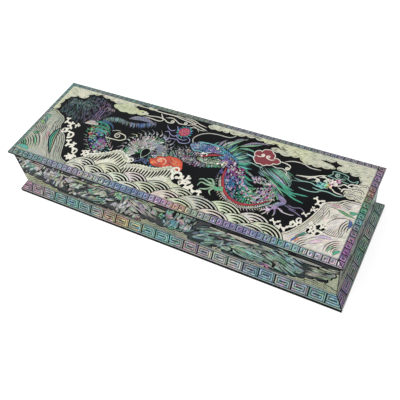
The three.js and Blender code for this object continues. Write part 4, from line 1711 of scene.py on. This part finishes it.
    # Cloud banks on the foot, and thin clouds under the lid
    cream = mix(CREAM, GREY, 0.1)
    rise = [(137, -19), (138, -9), (141, -3), (144, 1), (146, 8), (150, 15)]
    bank(sheet, rise, floor - 1, mix(cream, LIME, 0.3), 0)
    for points, colour in (
        (
            [(-150, -6.5), (-143, -6), (-136, -7.4), (-128, -10), (-120, -12.6), (-112, -14), (-107, -19)],
            mix(cream, LIME, 0.5)
        ),
        ([(-91, -19), (-88, -16), (-83, -16.6), (-80, -19)], cream),
        ([(-60, -19), (-56, -15.6), (-50, -16), (-44, -19)], mix(cream, ROSE, 0.3)),
        (
            [
                (-25, -19), (-22, -12), (-15, -10), (-7, -11.4), (3, -12.4), (12, -11), (20, -9), (24, -13),
                (25, -19)
            ],
            mix(cream, LIME, 0.3)
        ),
        ([(44, -19), (46, -15), (50, -13), (54, -15), (56, -19)], IVORY),
        ([(71, -19), (76, -15.6), (83, -13.6), (91, -14.4), (93, -19)], mix(cream, ROSE, 0.2)),
        (
            [(104, -19), (110, -15), (117, -14), (124, -10), (131, -7), (138, -8), (143, -11), (150, -13)],
            mix(cream, LIME, 0.35)
        ),
    ):
        bank(sheet, [(x, y - BANK_FOOT - floor) for x, y in points], floor - 1, colour)
    for left, right, y, thick, colour in (
        (-147, -137, 13, 1.5, pearl), (-131, -117, 12.4, 2.0, mix(cream, ROSE, 0.4)),
        (-113, -101, 12.8, 1.4, lilac), (-98, -87, 11.4, 1.8, cream),
        (-84, -70, 10.6, 2.6, mix(CREAM, LIME, 0.8)), (-69, -60, 10, 1.6, mix(cream, ROSE, 0.3)),
        (-57, -49, 11.6, 1.5, cream), (-20, -10, 12.4, 2.0, mix(MOSS, CREAM, 0.3)),
        (-4, 8, 11, 3.4, mix(cream, MOSS, 0.3)), (27, 33, 12, 1.4, jade), (47, 60, 11.4, 2.0, cream),
        (62, 88, 11.6, 4.0, IVORY), (90, 99, 11.4, 2.0, cream), (103, 108, 11.8, 1.7, cream),
        (111, 137, 11.6, 2.7, mix(IVORY, GREY, 0.2)), (134, 143, 9.6, 1.8, cream),
    ):
        band(sheet, left, right, y, thick, colour)
    x = -148.0
    while x < 148:
        end = x + sheet.random.uniform(6, 14)
        sheet.lay(
            [(x, floor + 0.2), (end, floor + 0.2), (end, floor + 0.8), (x, floor + 0.8)], "bank",
            mix(cream, SLATE, 0.3)
        )
        x = end + 0.2

    kept = []
    for loop, ink in zip(sheet.loops, sheet.inks):
        moved = loop * (mirror, 1) + (shift, 0)
        if moved[:, 0].max() > -width / 2 and moved[:, 0].min() < width / 2:
            kept.append((moved, ink))
    sheet.loops, sheet.inks = [loop for loop, ink in kept], [ink for loop, ink in kept]
    return sheet


# Materials


def linear(colour):
    """A screen colour as the light that it stands for"""
    return [c / 12.92 if c < 0.04045 else ((c + 0.055) / 1.055) ** 2.4 for c in colour]


class Look:
    """A material, with short ways to add the nodes that the looks here share"""

    def __init__(self, name):
        self.material = bpy.data.materials.new(name)
        self.material.use_nodes = True
        self.nodes = self.material.node_tree.nodes
        self.shader = self.nodes["Principled BSDF"]

    def link(self, output, node, socket):
        self.material.node_tree.links.new(output, node.inputs[socket])

    def place(self):
        return self.nodes.new("ShaderNodeTexCoord").outputs["Object"]

    def attribute(self, name, output):
        node = self.nodes.new("ShaderNodeAttribute")
        node.attribute_name = name
        return node.outputs[output]

    def scaled(self, source, scale):
        node = self.nodes.new("ShaderNodeMapping")
        node.inputs["Scale"].default_value = scale
        self.link(source, node, "Vector")
        return node.outputs["Vector"]

    def noise(self, vector, scale, detail=3.0, roughness=0.55):
        node = self.nodes.new("ShaderNodeTexNoise")
        node.inputs["Scale"].default_value = scale
        node.inputs["Detail"].default_value = detail
        node.inputs["Roughness"].default_value = roughness
        self.link(vector, node, "Vector")
        return node.outputs["Fac"]

    def remap(self, value, low, high, to_low, to_high):
        node = self.nodes.new("ShaderNodeMapRange")
        node.inputs["From Min"].default_value = low
        node.inputs["From Max"].default_value = high
        node.inputs["To Min"].default_value = to_low
        node.inputs["To Max"].default_value = to_high
        self.link(value, node, "Value")
        return node.outputs["Result"]

    def mixed(self, kind, factor, first, second):
        """Mixes two colours. A factor or a colour may be a number or another node's output."""
        node = self.nodes.new("ShaderNodeMix")
        node.data_type = "RGBA"
        node.blend_type = kind
        for socket, value in ((0, factor), (6, first), (7, second)):
            if isinstance(value, bpy.types.NodeSocket):
                self.link(value, node, socket)
            else:
                node.inputs[socket].default_value = value
        return node.outputs[2]

    def ramp(self, value, stops, hues, interpolation="LINEAR"):
        node = self.nodes.new("ShaderNodeValToRGB")
        ramp = node.color_ramp
        ramp.interpolation = interpolation
        while len(ramp.elements) < len(stops):
            ramp.elements.new(0.5)
        for element, position, hue in zip(ramp.elements, stops, hues):
            element.position = position
            element.color = hue
        self.link(value, node, "Fac")
        return node.outputs["Color"]

    def product(self, first, second):
        node = self.nodes.new("ShaderNodeMath")
        node.operation = "MULTIPLY"
        self.link(first, node, 0)
        self.link(second, node, 1)
        return node.outputs[0]

    def grey(self, value):
        node = self.nodes.new("ShaderNodeCombineColor")
        for channel in range(3):
            self.link(value, node, channel)
        return node.outputs["Color"]

    def bump(self, height, distance, strength):
        node = self.nodes.new("ShaderNodeBump")
        node.inputs["Strength"].default_value = strength
        node.inputs["Distance"].default_value = distance
        self.link(height, node, "Height")
        self.link(node.outputs["Normal"], self.shader, "Normal")


def lacquer_material(name, gloss):
    """Black lacquer: deep and glossy, with a faint ripple, dust and rubbing marks"""
    look = Look(name)
    shader = look.shader
    place = look.place()
    shader.inputs["Specular IOR Level"].default_value = gloss
    shader.inputs["IOR"].default_value = 1.35
    patches = look.remap(look.noise(place, 45.0, 4.0), 0.35, 0.7, 0, 1)
    dusty = tuple(2.1 * c for c in LACQUER_COLOUR)
    look.link(look.mixed("MIX", patches, LACQUER_COLOUR + (1,), dusty + (1,)), shader, "Base Color")
    rubbed = look.noise(look.scaled(place, (300, 900, 300)), 1.0, 5.0)
    look.link(look.remap(rubbed, 0.3, 0.75, 0.10, 0.26), shader, "Roughness")
    look.bump(look.noise(place, 160.0, 2.0), 0.00012, 0.25)
    return look.material


# The hues that a region of shell leans to, and those that wander through each piece
REGION_HUES = ((0.92, 0.93, 0.74, 1), (0.82, 0.83, 0.80, 1), (1.0, 0.95, 0.97, 1), (0.82, 0.84, 0.76, 1))
REGION_STOPS = (0.34, 0.44, 0.55, 0.66)
NACRE_HUES = ((0.94, 0.68, 0.78, 1), (0.62, 0.86, 0.70, 1), (0.58, 0.74, 0.90, 1), (0.97, 0.90, 0.70, 1))
NACRE_STOPS = (0.32, 0.44, 0.56, 0.68)


def shell_material(name, play, streak, shade_low=0.55, gloss=0.5, drift=0.0):
    """Shell with fine growth streaks. play is how much its hue wanders, streak how strong they are,
    shade_low how dark its ripple gets, gloss how much it shines, and drift how far a whole region
    leans to yellow green, pink or grey."""
    look = Look(name)
    shader = look.shader
    tint = look.attribute("tint", "Color")
    flow = look.attribute("flow", "Vector")
    # Hue wanders in soft bands across the grain, as it does in a slice of shell
    bands = look.noise(look.scaled(flow, (0.10, 0.34, 1.0)), 1.0, 3.0)
    nacre = look.ramp(bands, NACRE_STOPS, NACRE_HUES, "EASE")
    glow = look.mixed("MULTIPLY", play, tint, nacre)
    glow = look.mixed("SOFT_LIGHT", play * 0.8, glow, nacre)
    if drift:
        regions = look.noise(look.scaled(look.place(), (26, 34, 30)), 1.0, 2.0)
        glow = look.mixed("MULTIPLY", drift, glow, look.ramp(regions, REGION_STOPS, REGION_HUES))
    # Growth streaks along the grain, and a coarser ripple of light and dark
    fine = look.noise(look.scaled(flow, (0.45, 4.2, 1.0)), 1.0, 4.0, 0.65)
    coarse = look.noise(look.scaled(flow, (0.25, 0.9, 1.0)), 1.0, 2.0)
    low = 1 - streak
    streaks = look.remap(fine, 0.3, 0.7, low, 1.1)
    ripple = look.remap(coarse, 0.3, 0.7, max(low, shade_low), 1.12)
    shaded = look.mixed("MULTIPLY", 1.0, glow, look.grey(look.product(streaks, ripple)))
    look.link(shaded, shader, "Base Color")
    look.link(look.remap(fine, 0.3, 0.7, 0.22, 0.42), shader, "Roughness")
    shader.inputs["Metallic"].default_value = 0.2 * gloss
    shader.inputs["Specular IOR Level"].default_value = gloss
    shader.inputs["Coat Weight"].default_value = 0.6 * gloss
    shader.inputs["Coat Roughness"].default_value = 0.12
    look.bump(fine, 0.00004, 0.35)
    return look.material


# Cutting a drawing into pieces of shell


class Face:
    """A flat face of the box, with its middle, and with its own right, up and outward directions"""

    def __init__(self, middle, right, up):
        self.middle = Vector(middle)
        self.right = Vector(right).normalized()
        self.up = Vector(up).normalized()
        self.out = self.right.cross(self.up)

    def place(self, points, height):
        """Flat points in millimetres to places in metres, height millimetres off the face"""
        axes = np.array([self.right, self.up])
        return np.array(self.middle) + (points @ axes + height * np.array(self.out)) * MM


def facing_up(loop):
    """The loop counterclockwise, without doubled points, and ending at its lowest point"""
    loop = np.asarray(loop, float)
    steps = np.linalg.norm(loop - np.roll(loop, 1, 0), axis=1)
    loop = loop[steps > 0.004]
    if len(loop) < 3:
        return None
    low = int(np.argmin(loop[:, 1]))
    before = loop[low] - loop[low - 1]
    after = loop[(low + 1) % len(loop)] - loop[low]
    loop = np.roll(loop, len(loop) - 1 - low, 0)
    if before[0] * after[1] - before[1] * after[0] < 0:
        loop = np.roll(loop[::-1], -1, 0)
    return loop


def cut(sheet, outline):
    """Finds what shows of every piece inside an outline: points, triangles and the piece each is on"""
    turned = [facing_up(loop) for loop in sheet.loops]
    sheet.inks = [ink for ink, loop in zip(sheet.inks, turned) if loop is not None]
    loops = [facing_up(outline)] + [loop for loop in turned if loop is not None]
    points = [Vector(p) for loop in loops for p in loop]
    faces = []
    first = 0
    for loop in loops:
        faces.append(list(range(first, first + len(loop))))
        first += len(loop)
    inside_only, weld, with_sources = 1, 1e-5, True
    result = delaunay_2d_cdt(points, [], faces, inside_only, weld, with_sources)
    flat = np.array([tuple(p) for p in result[0]])
    triangles, owners = [], []
    for triangle, sources in zip(result[2], result[5]):
        if 0 in sources and len(triangle) == 3:
            triangles.append(triangle)
            owners.append(max(sources) - 1)
    return flat, np.array(triangles), np.array(owners)


def set_pieces(sheet, outline, face, body, prefix):
    """Cuts a drawing and sets its shell on a face, one object for each group of pieces"""
    flat, triangles, owners = cut(sheet, outline)
    groups = sorted({ink[0] for ink in sheet.inks if ink})
    colours = np.array([linear(ink[1]) + [1.0] if ink else (0, 0, 0, 1) for ink in sheet.inks])
    names = np.array([groups.index(ink[0]) if ink else -1 for ink in sheet.inks])
    turns = np.array([sheet.random.uniform(0, math.pi) for _ in sheet.inks])
    shifts = np.array([sheet.random.uniform(0, 400) for _ in sheet.inks])
    kinds = np.where(owners >= 0, names[owners], -1)
    for number, group in enumerate(groups):
        chosen = kinds == number
        if not chosen.any():
            continue
        tris, owner = triangles[chosen], owners[chosen]
        obj = shell_object(f"{prefix}_{group}", flat, tris, owner, face, colours, turns, shifts)
        obj.data.materials.append(SHELLS[group])
        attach(obj, body)


def shell_object(name, flat, tris, owner, face, colours, turns, shifts):
    used, small = np.unique(tris, return_inverse=True)
    tris = small.reshape(-1, 3)
    flat = flat[used]
    a, b, c = flat[tris[:, 0]], flat[tris[:, 1]], flat[tris[:, 2]]
    area = (b[:, 0] - a[:, 0]) * (c[:, 1] - a[:, 1]) - (b[:, 1] - a[:, 1]) * (c[:, 0] - a[:, 0])
    tris = np.where((area < 0)[:, None], tris[:, ::-1], tris)
    count = len(flat)
    edges = np.vstack((tris[:, [0, 1]], tris[:, [1, 2]], tris[:, [2, 0]]))
    edge_owner = np.tile(owner, 3)
    key = edges.min(1).astype(np.int64) * count + edges.max(1)
    inverse, times = np.unique(key, return_inverse=True, return_counts=True)[1:]
    rim = times[inverse] == 1
    e = edges[rim]
    sides = np.column_stack((e[:, 1], e[:, 0], e[:, 0] + count, e[:, 1] + count))
    corners = np.vstack((face.place(flat, RELIEF), face.place(flat, -ROOT)))
    mesh = bpy.data.meshes.new(name)
    mesh.from_pydata(corners.tolist(), [], tris.tolist() + sides.tolist())
    face_owner = np.concatenate((owner, edge_owner[rim]))
    sizes = np.concatenate((np.full(len(tris), 3), np.full(len(sides), 4)))
    loop_owner = np.repeat(face_owner, sizes)
    tint = mesh.attributes.new("tint", "FLOAT_COLOR", "CORNER")
    tint.data.foreach_set("color", colours[loop_owner].astype(np.float32).ravel())
    loop_points = np.concatenate((tris.ravel(), sides.ravel())) % count
    turn, shift = turns[loop_owner], shifts[loop_owner]
    x, y = flat[loop_points].T
    flow = np.column_stack((
        x * np.cos(turn) + y * np.sin(turn) + shift,
        y * np.cos(turn) - x * np.sin(turn) + shift,
        shift,
    ))
    attribute = mesh.attributes.new("flow", "FLOAT_VECTOR", "CORNER")
    attribute.data.foreach_set("vector", flow.astype(np.float32).ravel())
    mesh.validate()
    return add_object(name, mesh)


# The lining and the felt


def noise_field(seed, count):
    """A few long waves that together look like a hand-laid surface. Gives a function of two lengths."""
    chance = random.Random(seed)
    waves = []
    for _ in range(count):
        turn = chance.uniform(0, 2 * math.pi)
        length = chance.uniform(9, 38)
        waves.append((math.cos(turn) / length, math.sin(turn) / length, chance.uniform(0, 2 * math.pi)))

    def height(u, v):
        return sum(np.sin(2 * math.pi * (a * u + b * v) + phase) for a, b, phase in waves) / count

    return height


def fine_at_edges(half, inner):
    """Grid lines across a pad, close together over its rounded edges"""
    over_edge = [0, 0.12, 0.3, 0.6, 1.0, 1.5, 2.2]
    left = [-half + s for s in over_edge]
    return np.array(left + list(np.linspace(-half + 3.4, half - 3.4, inner)) + [-s for s in left[::-1]])


def soft_pad(name, face, width, height, thickness, seed, edge=1.1, wave=0.09):
    """A closed pad whose face is crowned, a little uneven, and rolled over at its edges"""
    us = fine_at_edges(width / 2, max(6, int(width / 4)))
    vs = fine_at_edges(height / 2, max(5, int(height / 4)))
    u, v = np.meshgrid(us, vs)
    inset = np.minimum(width / 2 - np.abs(u), height / 2 - np.abs(v))
    roll = np.clip(inset / edge, 0, 1)
    crown = thickness * (0.42 + 0.58 * np.sqrt(1 - (1 - roll) ** 2))
    uneven = noise_field(seed, 9)(u, v) * wave * np.clip(inset / 4, 0, 1)
    top = np.minimum(crown * 0.93 + uneven, thickness)
    rows, columns = u.shape
    flat = np.column_stack((u.ravel(), v.ravel()))
    lower = np.array(face.middle) + flat @ np.array([face.right, face.up]) * MM
    upper = lower + top.ravel()[:, None] * np.array(face.out) * MM
    count = rows * columns
    faces = []
    for r in range(rows - 1):
        for c in range(columns - 1):
            a = r * columns + c
            quad = (a, a + 1, a + columns + 1, a + columns)
            faces.append(quad)
            faces.append(tuple(count + i for i in quad[::-1]))
    ring = list(range(columns)) + [r * columns + columns - 1 for r in range(1, rows)]
    ring += list(range(rows * columns - 2, (rows - 1) * columns - 1, -1))
    ring += [r * columns for r in range(rows - 2, 0, -1)]
    for a, b in zip(ring, ring[1:] + ring[:1]):
        faces.append((b, a, a + count, b + count))
    mesh = bpy.data.meshes.new(name)
    mesh.from_pydata(np.vstack((upper, lower)).tolist(), [], faces)
    mesh.shade_smooth()
    mesh.validate()
    return add_object(name, mesh)


def node_face(node, out):
    """The face that a node's lining lies on, its width and height on it, and the lining's thickness"""
    low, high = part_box(node)
    middle, size = (low + high) / 2, high - low
    axis = max(range(3), key=lambda i: abs(out[i]))
    middle[axis] -= out[axis] * size[axis] / 2
    right = Vector((1, 0, 0)) if axis != 0 else Vector((0, 1, 0))
    up = Vector(out).cross(right)
    width = abs(right.dot(size)) / MM
    height = sum(abs(up[i]) * size[i] for i in range(3)) / MM
    return Face(middle, right, up), width, height, size[axis] / MM


def velvet_material(name, colour):
    """Short-piled cloth: soft light at its edges, brushed patches and a fine nap"""
    look = Look(name)
    shader = look.shader
    place = look.place()
    deep = tuple(0.55 * c for c in colour)
    brushed = look.remap(look.noise(place, 60.0, 3.0), 0.35, 0.65, 0, 1)
    patches = look.mixed("MIX", brushed, deep + (1,), tuple(colour) + (1,))
    nap = look.noise(place, 2600.0, 2.0)
    speckles = look.grey(look.remap(nap, 0.25, 0.75, 0.5, 1.15))
    look.link(look.mixed("MULTIPLY", 0.5, patches, speckles), shader, "Base Color")
    shader.inputs["Roughness"].default_value = 0.95
    shader.inputs["Specular IOR Level"].default_value = 0.2
    shader.inputs["Sheen Weight"].default_value = 0.6
    shader.inputs["Sheen Roughness"].default_value = 0.4
    shader.inputs["Sheen Tint"].default_value = tuple(min(1, 2.2 * c + 0.1) for c in colour) + (1,)
    look.bump(nap, 0.0002, 0.5)
    return look.material


def line_with_velvet():
    velvet = velvet_material("velvet", VELVET_COLOUR)
    linings = [
        ("floor_lining", "box", (0, 0, 1)),
        ("wall_lining_front", "box", (0, 1, 0)),
        ("wall_lining_right", "box", (-1, 0, 0)),
        ("wall_lining_back", "box", (0, -1, 0)),
        ("wall_lining_left", "box", (1, 0, 0)),
        ("lid_lining", "lid", (0, 0, -1)),
    ]
    for number, (node, body, out) in enumerate(linings):
        face, width, height, thickness = node_face(node, out)
        name = node.replace("lining", "velvet")
        pad = soft_pad(name, face, width, height, thickness, seed=LINING_SEED + number)
        pad.data.materials.append(velvet)
        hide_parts(node)
        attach(pad, body)


def add_felt():
    """The felt on the underside, hand cut, so its edge wanders a little"""
    low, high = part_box("base_felt")
    half = ((high.x - low.x) / 2 / MM, (high.y - low.y) / 2 / MM)
    wander = noise_field(FELT_SEED, 6)
    corners = [(-half[0], -half[1]), (half[0], -half[1]), (half[0], half[1]), (-half[0], half[1])]
    outline = []
    for (xa, ya), (xb, yb) in zip(corners, corners[1:] + corners[:1]):
        steps = int(math.hypot(xb - xa, yb - ya) / 3)
        for k in range(steps):
            x, y = xa + (xb - xa) * k / steps, ya + (yb - ya) * k / steps
            margin = FELT_MARGIN + FELT_MARGIN * float(wander(x * 3, y * 3))
            pull = 1 - margin / (half[0] if abs(x) == half[0] else half[1])
            outline.append((x * (pull if abs(x) == half[0] else 1), y * (pull if abs(y) == half[1] else 1)))
    inner = [(x * (1 - 0.5 / half[0]), y * (1 - 0.5 / half[1])) for x, y in outline]
    count = len(outline)
    thick = (high.z - low.z) / MM
    rings = [(inner, 0.0), (outline, 0.16), (outline, thick - 0.16), (inner, thick)]
    corners = [(x * MM, y * MM, low.z + z * MM) for ring, z in rings for x, y in ring]
    faces = [tuple(range(count))[::-1], tuple(range(3 * count, 4 * count))]
    for k in range(3):
        for i in range(count):
            j = (i + 1) % count
            faces.append((k * count + i, k * count + j, (k + 1) * count + j, (k + 1) * count + i))
    mesh = bpy.data.meshes.new("felt_sheet")
    mesh.from_pydata(corners, [], faces)
    mesh.validate()
    felt = add_object("felt_sheet", mesh)
    felt.data.materials.append(velvet_material("felt", FELT_COLOUR))
    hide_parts("base_felt")
    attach(felt, "box")


line_with_velvet()
add_felt()


# Setting it all on the box


def rectangle(width, height):
    w, h = width / 2, height / 2
    return [(-w, -h), (w, -h), (w, h), (-w, h)]


UPRIGHT = ("wall_", "plinth_", "bottom_", "lid_rail_")  # nodes whose lacquer shines less
lacquer = lacquer_material("lacquer", gloss=0.12)
side_lacquer = lacquer_material("side_lacquer", gloss=0.03)
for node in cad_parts.values():
    node.data.materials.clear()
    node.data.materials.append(side_lacquer if node.name.startswith(UPRIGHT) else lacquer)

SHELLS = {
    "clouds": shell_material("cloud_shell", play=0.2, streak=0.26, shade_low=0.68, drift=0.8),
    "waves": shell_material("wave_shell", play=0.24, streak=0.24, shade_low=0.72, drift=0.7),
    "foam": shell_material("foam_shell", play=0.1, streak=0.1, shade_low=0.9),
    "rocks": shell_material("rock_shell", play=0.45, streak=0.4, gloss=0.15),
    "dragon": shell_material("dragon_shell", play=0.4, streak=0.42, gloss=0.2),
    "lines": shell_material("line_shell", play=0.12, streak=0.12, shade_low=0.85),
    "red": shell_material("red_inlay", play=0.0, streak=0.22, shade_low=0.75),
    "fret": shell_material("fret_shell", play=0.5, streak=0.3, shade_low=0.7, gloss=0.1),
    "land": shell_material("land_shell", play=0.35, streak=0.34, shade_low=0.6, gloss=0.06),
    "bank": shell_material("bank_shell", play=0.2, streak=0.3, shade_low=0.66, gloss=0.1, drift=0.5),
}

low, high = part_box("lid_picture_inlay")
lid_face = Face((0, 0, high.z), (1, 0, 0), (0, 1, 0))
panel = rectangle((high.x - low.x) / MM, (high.y - low.y) / MM)
set_pieces(lid_picture(), panel, lid_face, "lid", "lid")


def side_face(turn, outward, low, inward=0.0, high=None):
    """The face of one side. turn is 0 for the front and goes round by quarters."""
    angle = math.radians(turn)
    right = Vector((math.cos(angle), math.sin(angle), 0))
    out = Vector((math.sin(angle), -math.cos(angle), 0))
    up = Vector((0, 0, 1)) if high is None else (high - low) * Vector((0, 0, 1)) - inward * out
    return Face((out * outward + Vector((0, 0, low))) * MM, right, up)


SIDES = ("front", "right", "back", "left")
# Half length and half depth: the foot of the plinth's slope, the walls, and the rim of the lid
PLINTH_FOOT = (155.0, 53.5)
WALL_HALF = (148.4, 46.9)
LID_RIM = (151.0, 49.5)
PLINTH_LOW, PLINTH_TOP, WALL_TOP, LID_LOW, LID_HIGH = 4.0, 11.4, 49.4, 51.4, 53.2
MITRE_GAP = 0.45  # from the end of a strip of fret to the edge that it meets
WALL_MARGINS = (0.4, 0.3)  # from the inlay on a wall to the wall's ends, and to its top and foot
PLINTH_FRET = {"repeat": 13.4, "line": 1.05, "pitch": 1.72, "edge": 0.9, "dim": 0.74, "lift": 0.4}
LID_FRET = {"repeat": 5.4, "line": 0.82, "pitch": 1.4, "edge": 0.6, "dim": 0.5, "lift": 0.24}

DUSK = mix(SLATE, GREY, 0.5)
PLINTH_HUES = {
    "front": [
        MAGENTA, mix(MAGENTA, GREY, 0.3), mix(GREY, ROSE, 0.4), mix(TEAL, GREY, 0.4), mix(CYAN, BLUE, 0.4),
        mix(TEAL, ROSE, 0.3), ROSE, mix(ORANGE, CREAM, 0.3), GOLD, CYAN, mix(CYAN, TEAL, 0.3),
        mix(TEAL, CREAM, 0.4), mix(MAGENTA, ROSE, 0.3), mix(mix(GREEN, PINK, 0.5), IVORY, 0.4),
        mix(PINK, CREAM, 0.5), mix(VIOLET, IVORY, 0.45), mix(BLUE, CYAN, 0.5), mix(VIOLET, IVORY, 0.3),
        mix(mix(VIOLET, GREEN, 0.5), GREY, 0.4), mix(BLUE, CYAN, 0.5), CYAN,
    ],
    "right": [
        mix(VIOLET, SLATE, 0.3), mix(VIOLET, MAGENTA, 0.4), DUSK, mix(TEAL, GREEN, 0.4),
        mix(ROSE, GREY, 0.5), mix(TEAL, GREY, 0.4), mix(GREY, TEAL, 0.3),
    ],
    "back": [
        TEAL, CYAN, DUSK, VIOLET, mix(MAGENTA, GREY, 0.4), GOLD, GREEN, mix(BLUE, GREY, 0.3), PINK, TEAL
    ],
    "left": [DUSK, mix(TEAL, GREY, 0.4), VIOLET, ROSE, mix(GREEN, GREY, 0.3), BLUE, CYAN],
}
LID_HUES = {
    "front": [
        mix(TEAL, GREY, 0.5), mix(TEAL, SLATE, 0.4), mix(TEAL, GREY, 0.4), mix(VIOLET, GREY, 0.5),
        mix(VIOLET, GREY, 0.35), mix(mix(VIOLET, ROSE, 0.5), GREY, 0.5),
        mix(mix(GREEN, ROSE, 0.5), CREAM, 0.5), mix(BLUE, GREY, 0.2), mix(BLUE, SLATE, 0.2),
        mix(BLUE, VIOLET, 0.4), mix(MAGENTA, PINK, 0.6), mix(ORANGE, GOLD, 0.5), mix(GREEN, CREAM, 0.6),
        mix(VIOLET, MAGENTA, 0.4), VIOLET, mix(VIOLET, BLUE, 0.4), mix(CYAN, GREEN, 0.3),
        mix(CYAN, CREAM, 0.5), PINK, PINK,
    ],
    "right": [
        mix(VIOLET, PINK, 0.5), mix(VIOLET, MAGENTA, 0.5), mix(MAGENTA, GREY, 0.3), mix(CYAN, GREEN, 0.4),
        GREEN, mix(ORANGE, ROSE, 0.5), mix(VIOLET, GREY, 0.3), mix(ROSE, GREY, 0.3),
    ],
    "back": [
        mix(ROSE, GREY, 0.4), mix(VIOLET, GREY, 0.5), DUSK, mix(VIOLET, GREY, 0.6), DUSK,
        mix(MOSS, SLATE, 0.5), mix(TEAL, SLATE, 0.5), DUSK, mix(TEAL, SLATE, 0.4),
    ],
    "left": [
        mix(TEAL, CYAN, 0.4), mix(TEAL, SLATE, 0.5), DUSK, mix(MOSS, SLATE, 0.5), mix(TEAL, SLATE, 0.5),
        DUSK
    ],
}


def dress_border(name, body, outer, inner, low, high, hues, fret):
    """Lays a fret on each of the four slopes that go round the box, mitred at the corners"""
    for number, side in enumerate(SIDES):
        along, across = (0, 1) if number % 2 == 0 else (1, 0)
        run = outer[across] - inner[across]
        slope = math.hypot(run, high - low)
        face = side_face(90 * number, outer[across], low, run, high)
        a, b = outer[along] - MITRE_GAP, inner[along] - MITRE_GAP
        outline = [(-a, 0), (a, 0), (b, slope), (-b, slope)]
        sheet = fret_border(2 * outer[along], slope, hues[side], FRET_SEED + number, **fret)
        set_pieces(sheet, outline, face, body, f"{name}_{side}")


dress_border("plinth", "box", PLINTH_FOOT, WALL_HALF, PLINTH_LOW, PLINTH_TOP, PLINTH_HUES, PLINTH_FRET)
dress_border("lid_border", "lid", LID_RIM, LID_HALF, LID_LOW, LID_HIGH, LID_HUES, LID_FRET)

# The ends show a stretch of the landscape, and the back shows it the other way round
WALL_VIEWS = {"front": (1, 0.0), "right": (1, 101.0), "back": (-1, 0.0), "left": (-1, 98.0)}
for number, side in enumerate(SIDES):
    along, across = (0, 1) if number % 2 == 0 else (1, 0)
    tall = WALL_TOP - PLINTH_TOP
    face = side_face(90 * number, WALL_HALF[across], PLINTH_TOP + tall / 2)
    width = 2 * WALL_HALF[along] - 2 * WALL_MARGINS[0]
    height = tall - 2 * WALL_MARGINS[1]
    sheet = wall_picture(width, height, WALL_SEED + number, *WALL_VIEWS[side])
    set_pieces(sheet, rectangle(width, height), face, "box", f"wall_{side}")
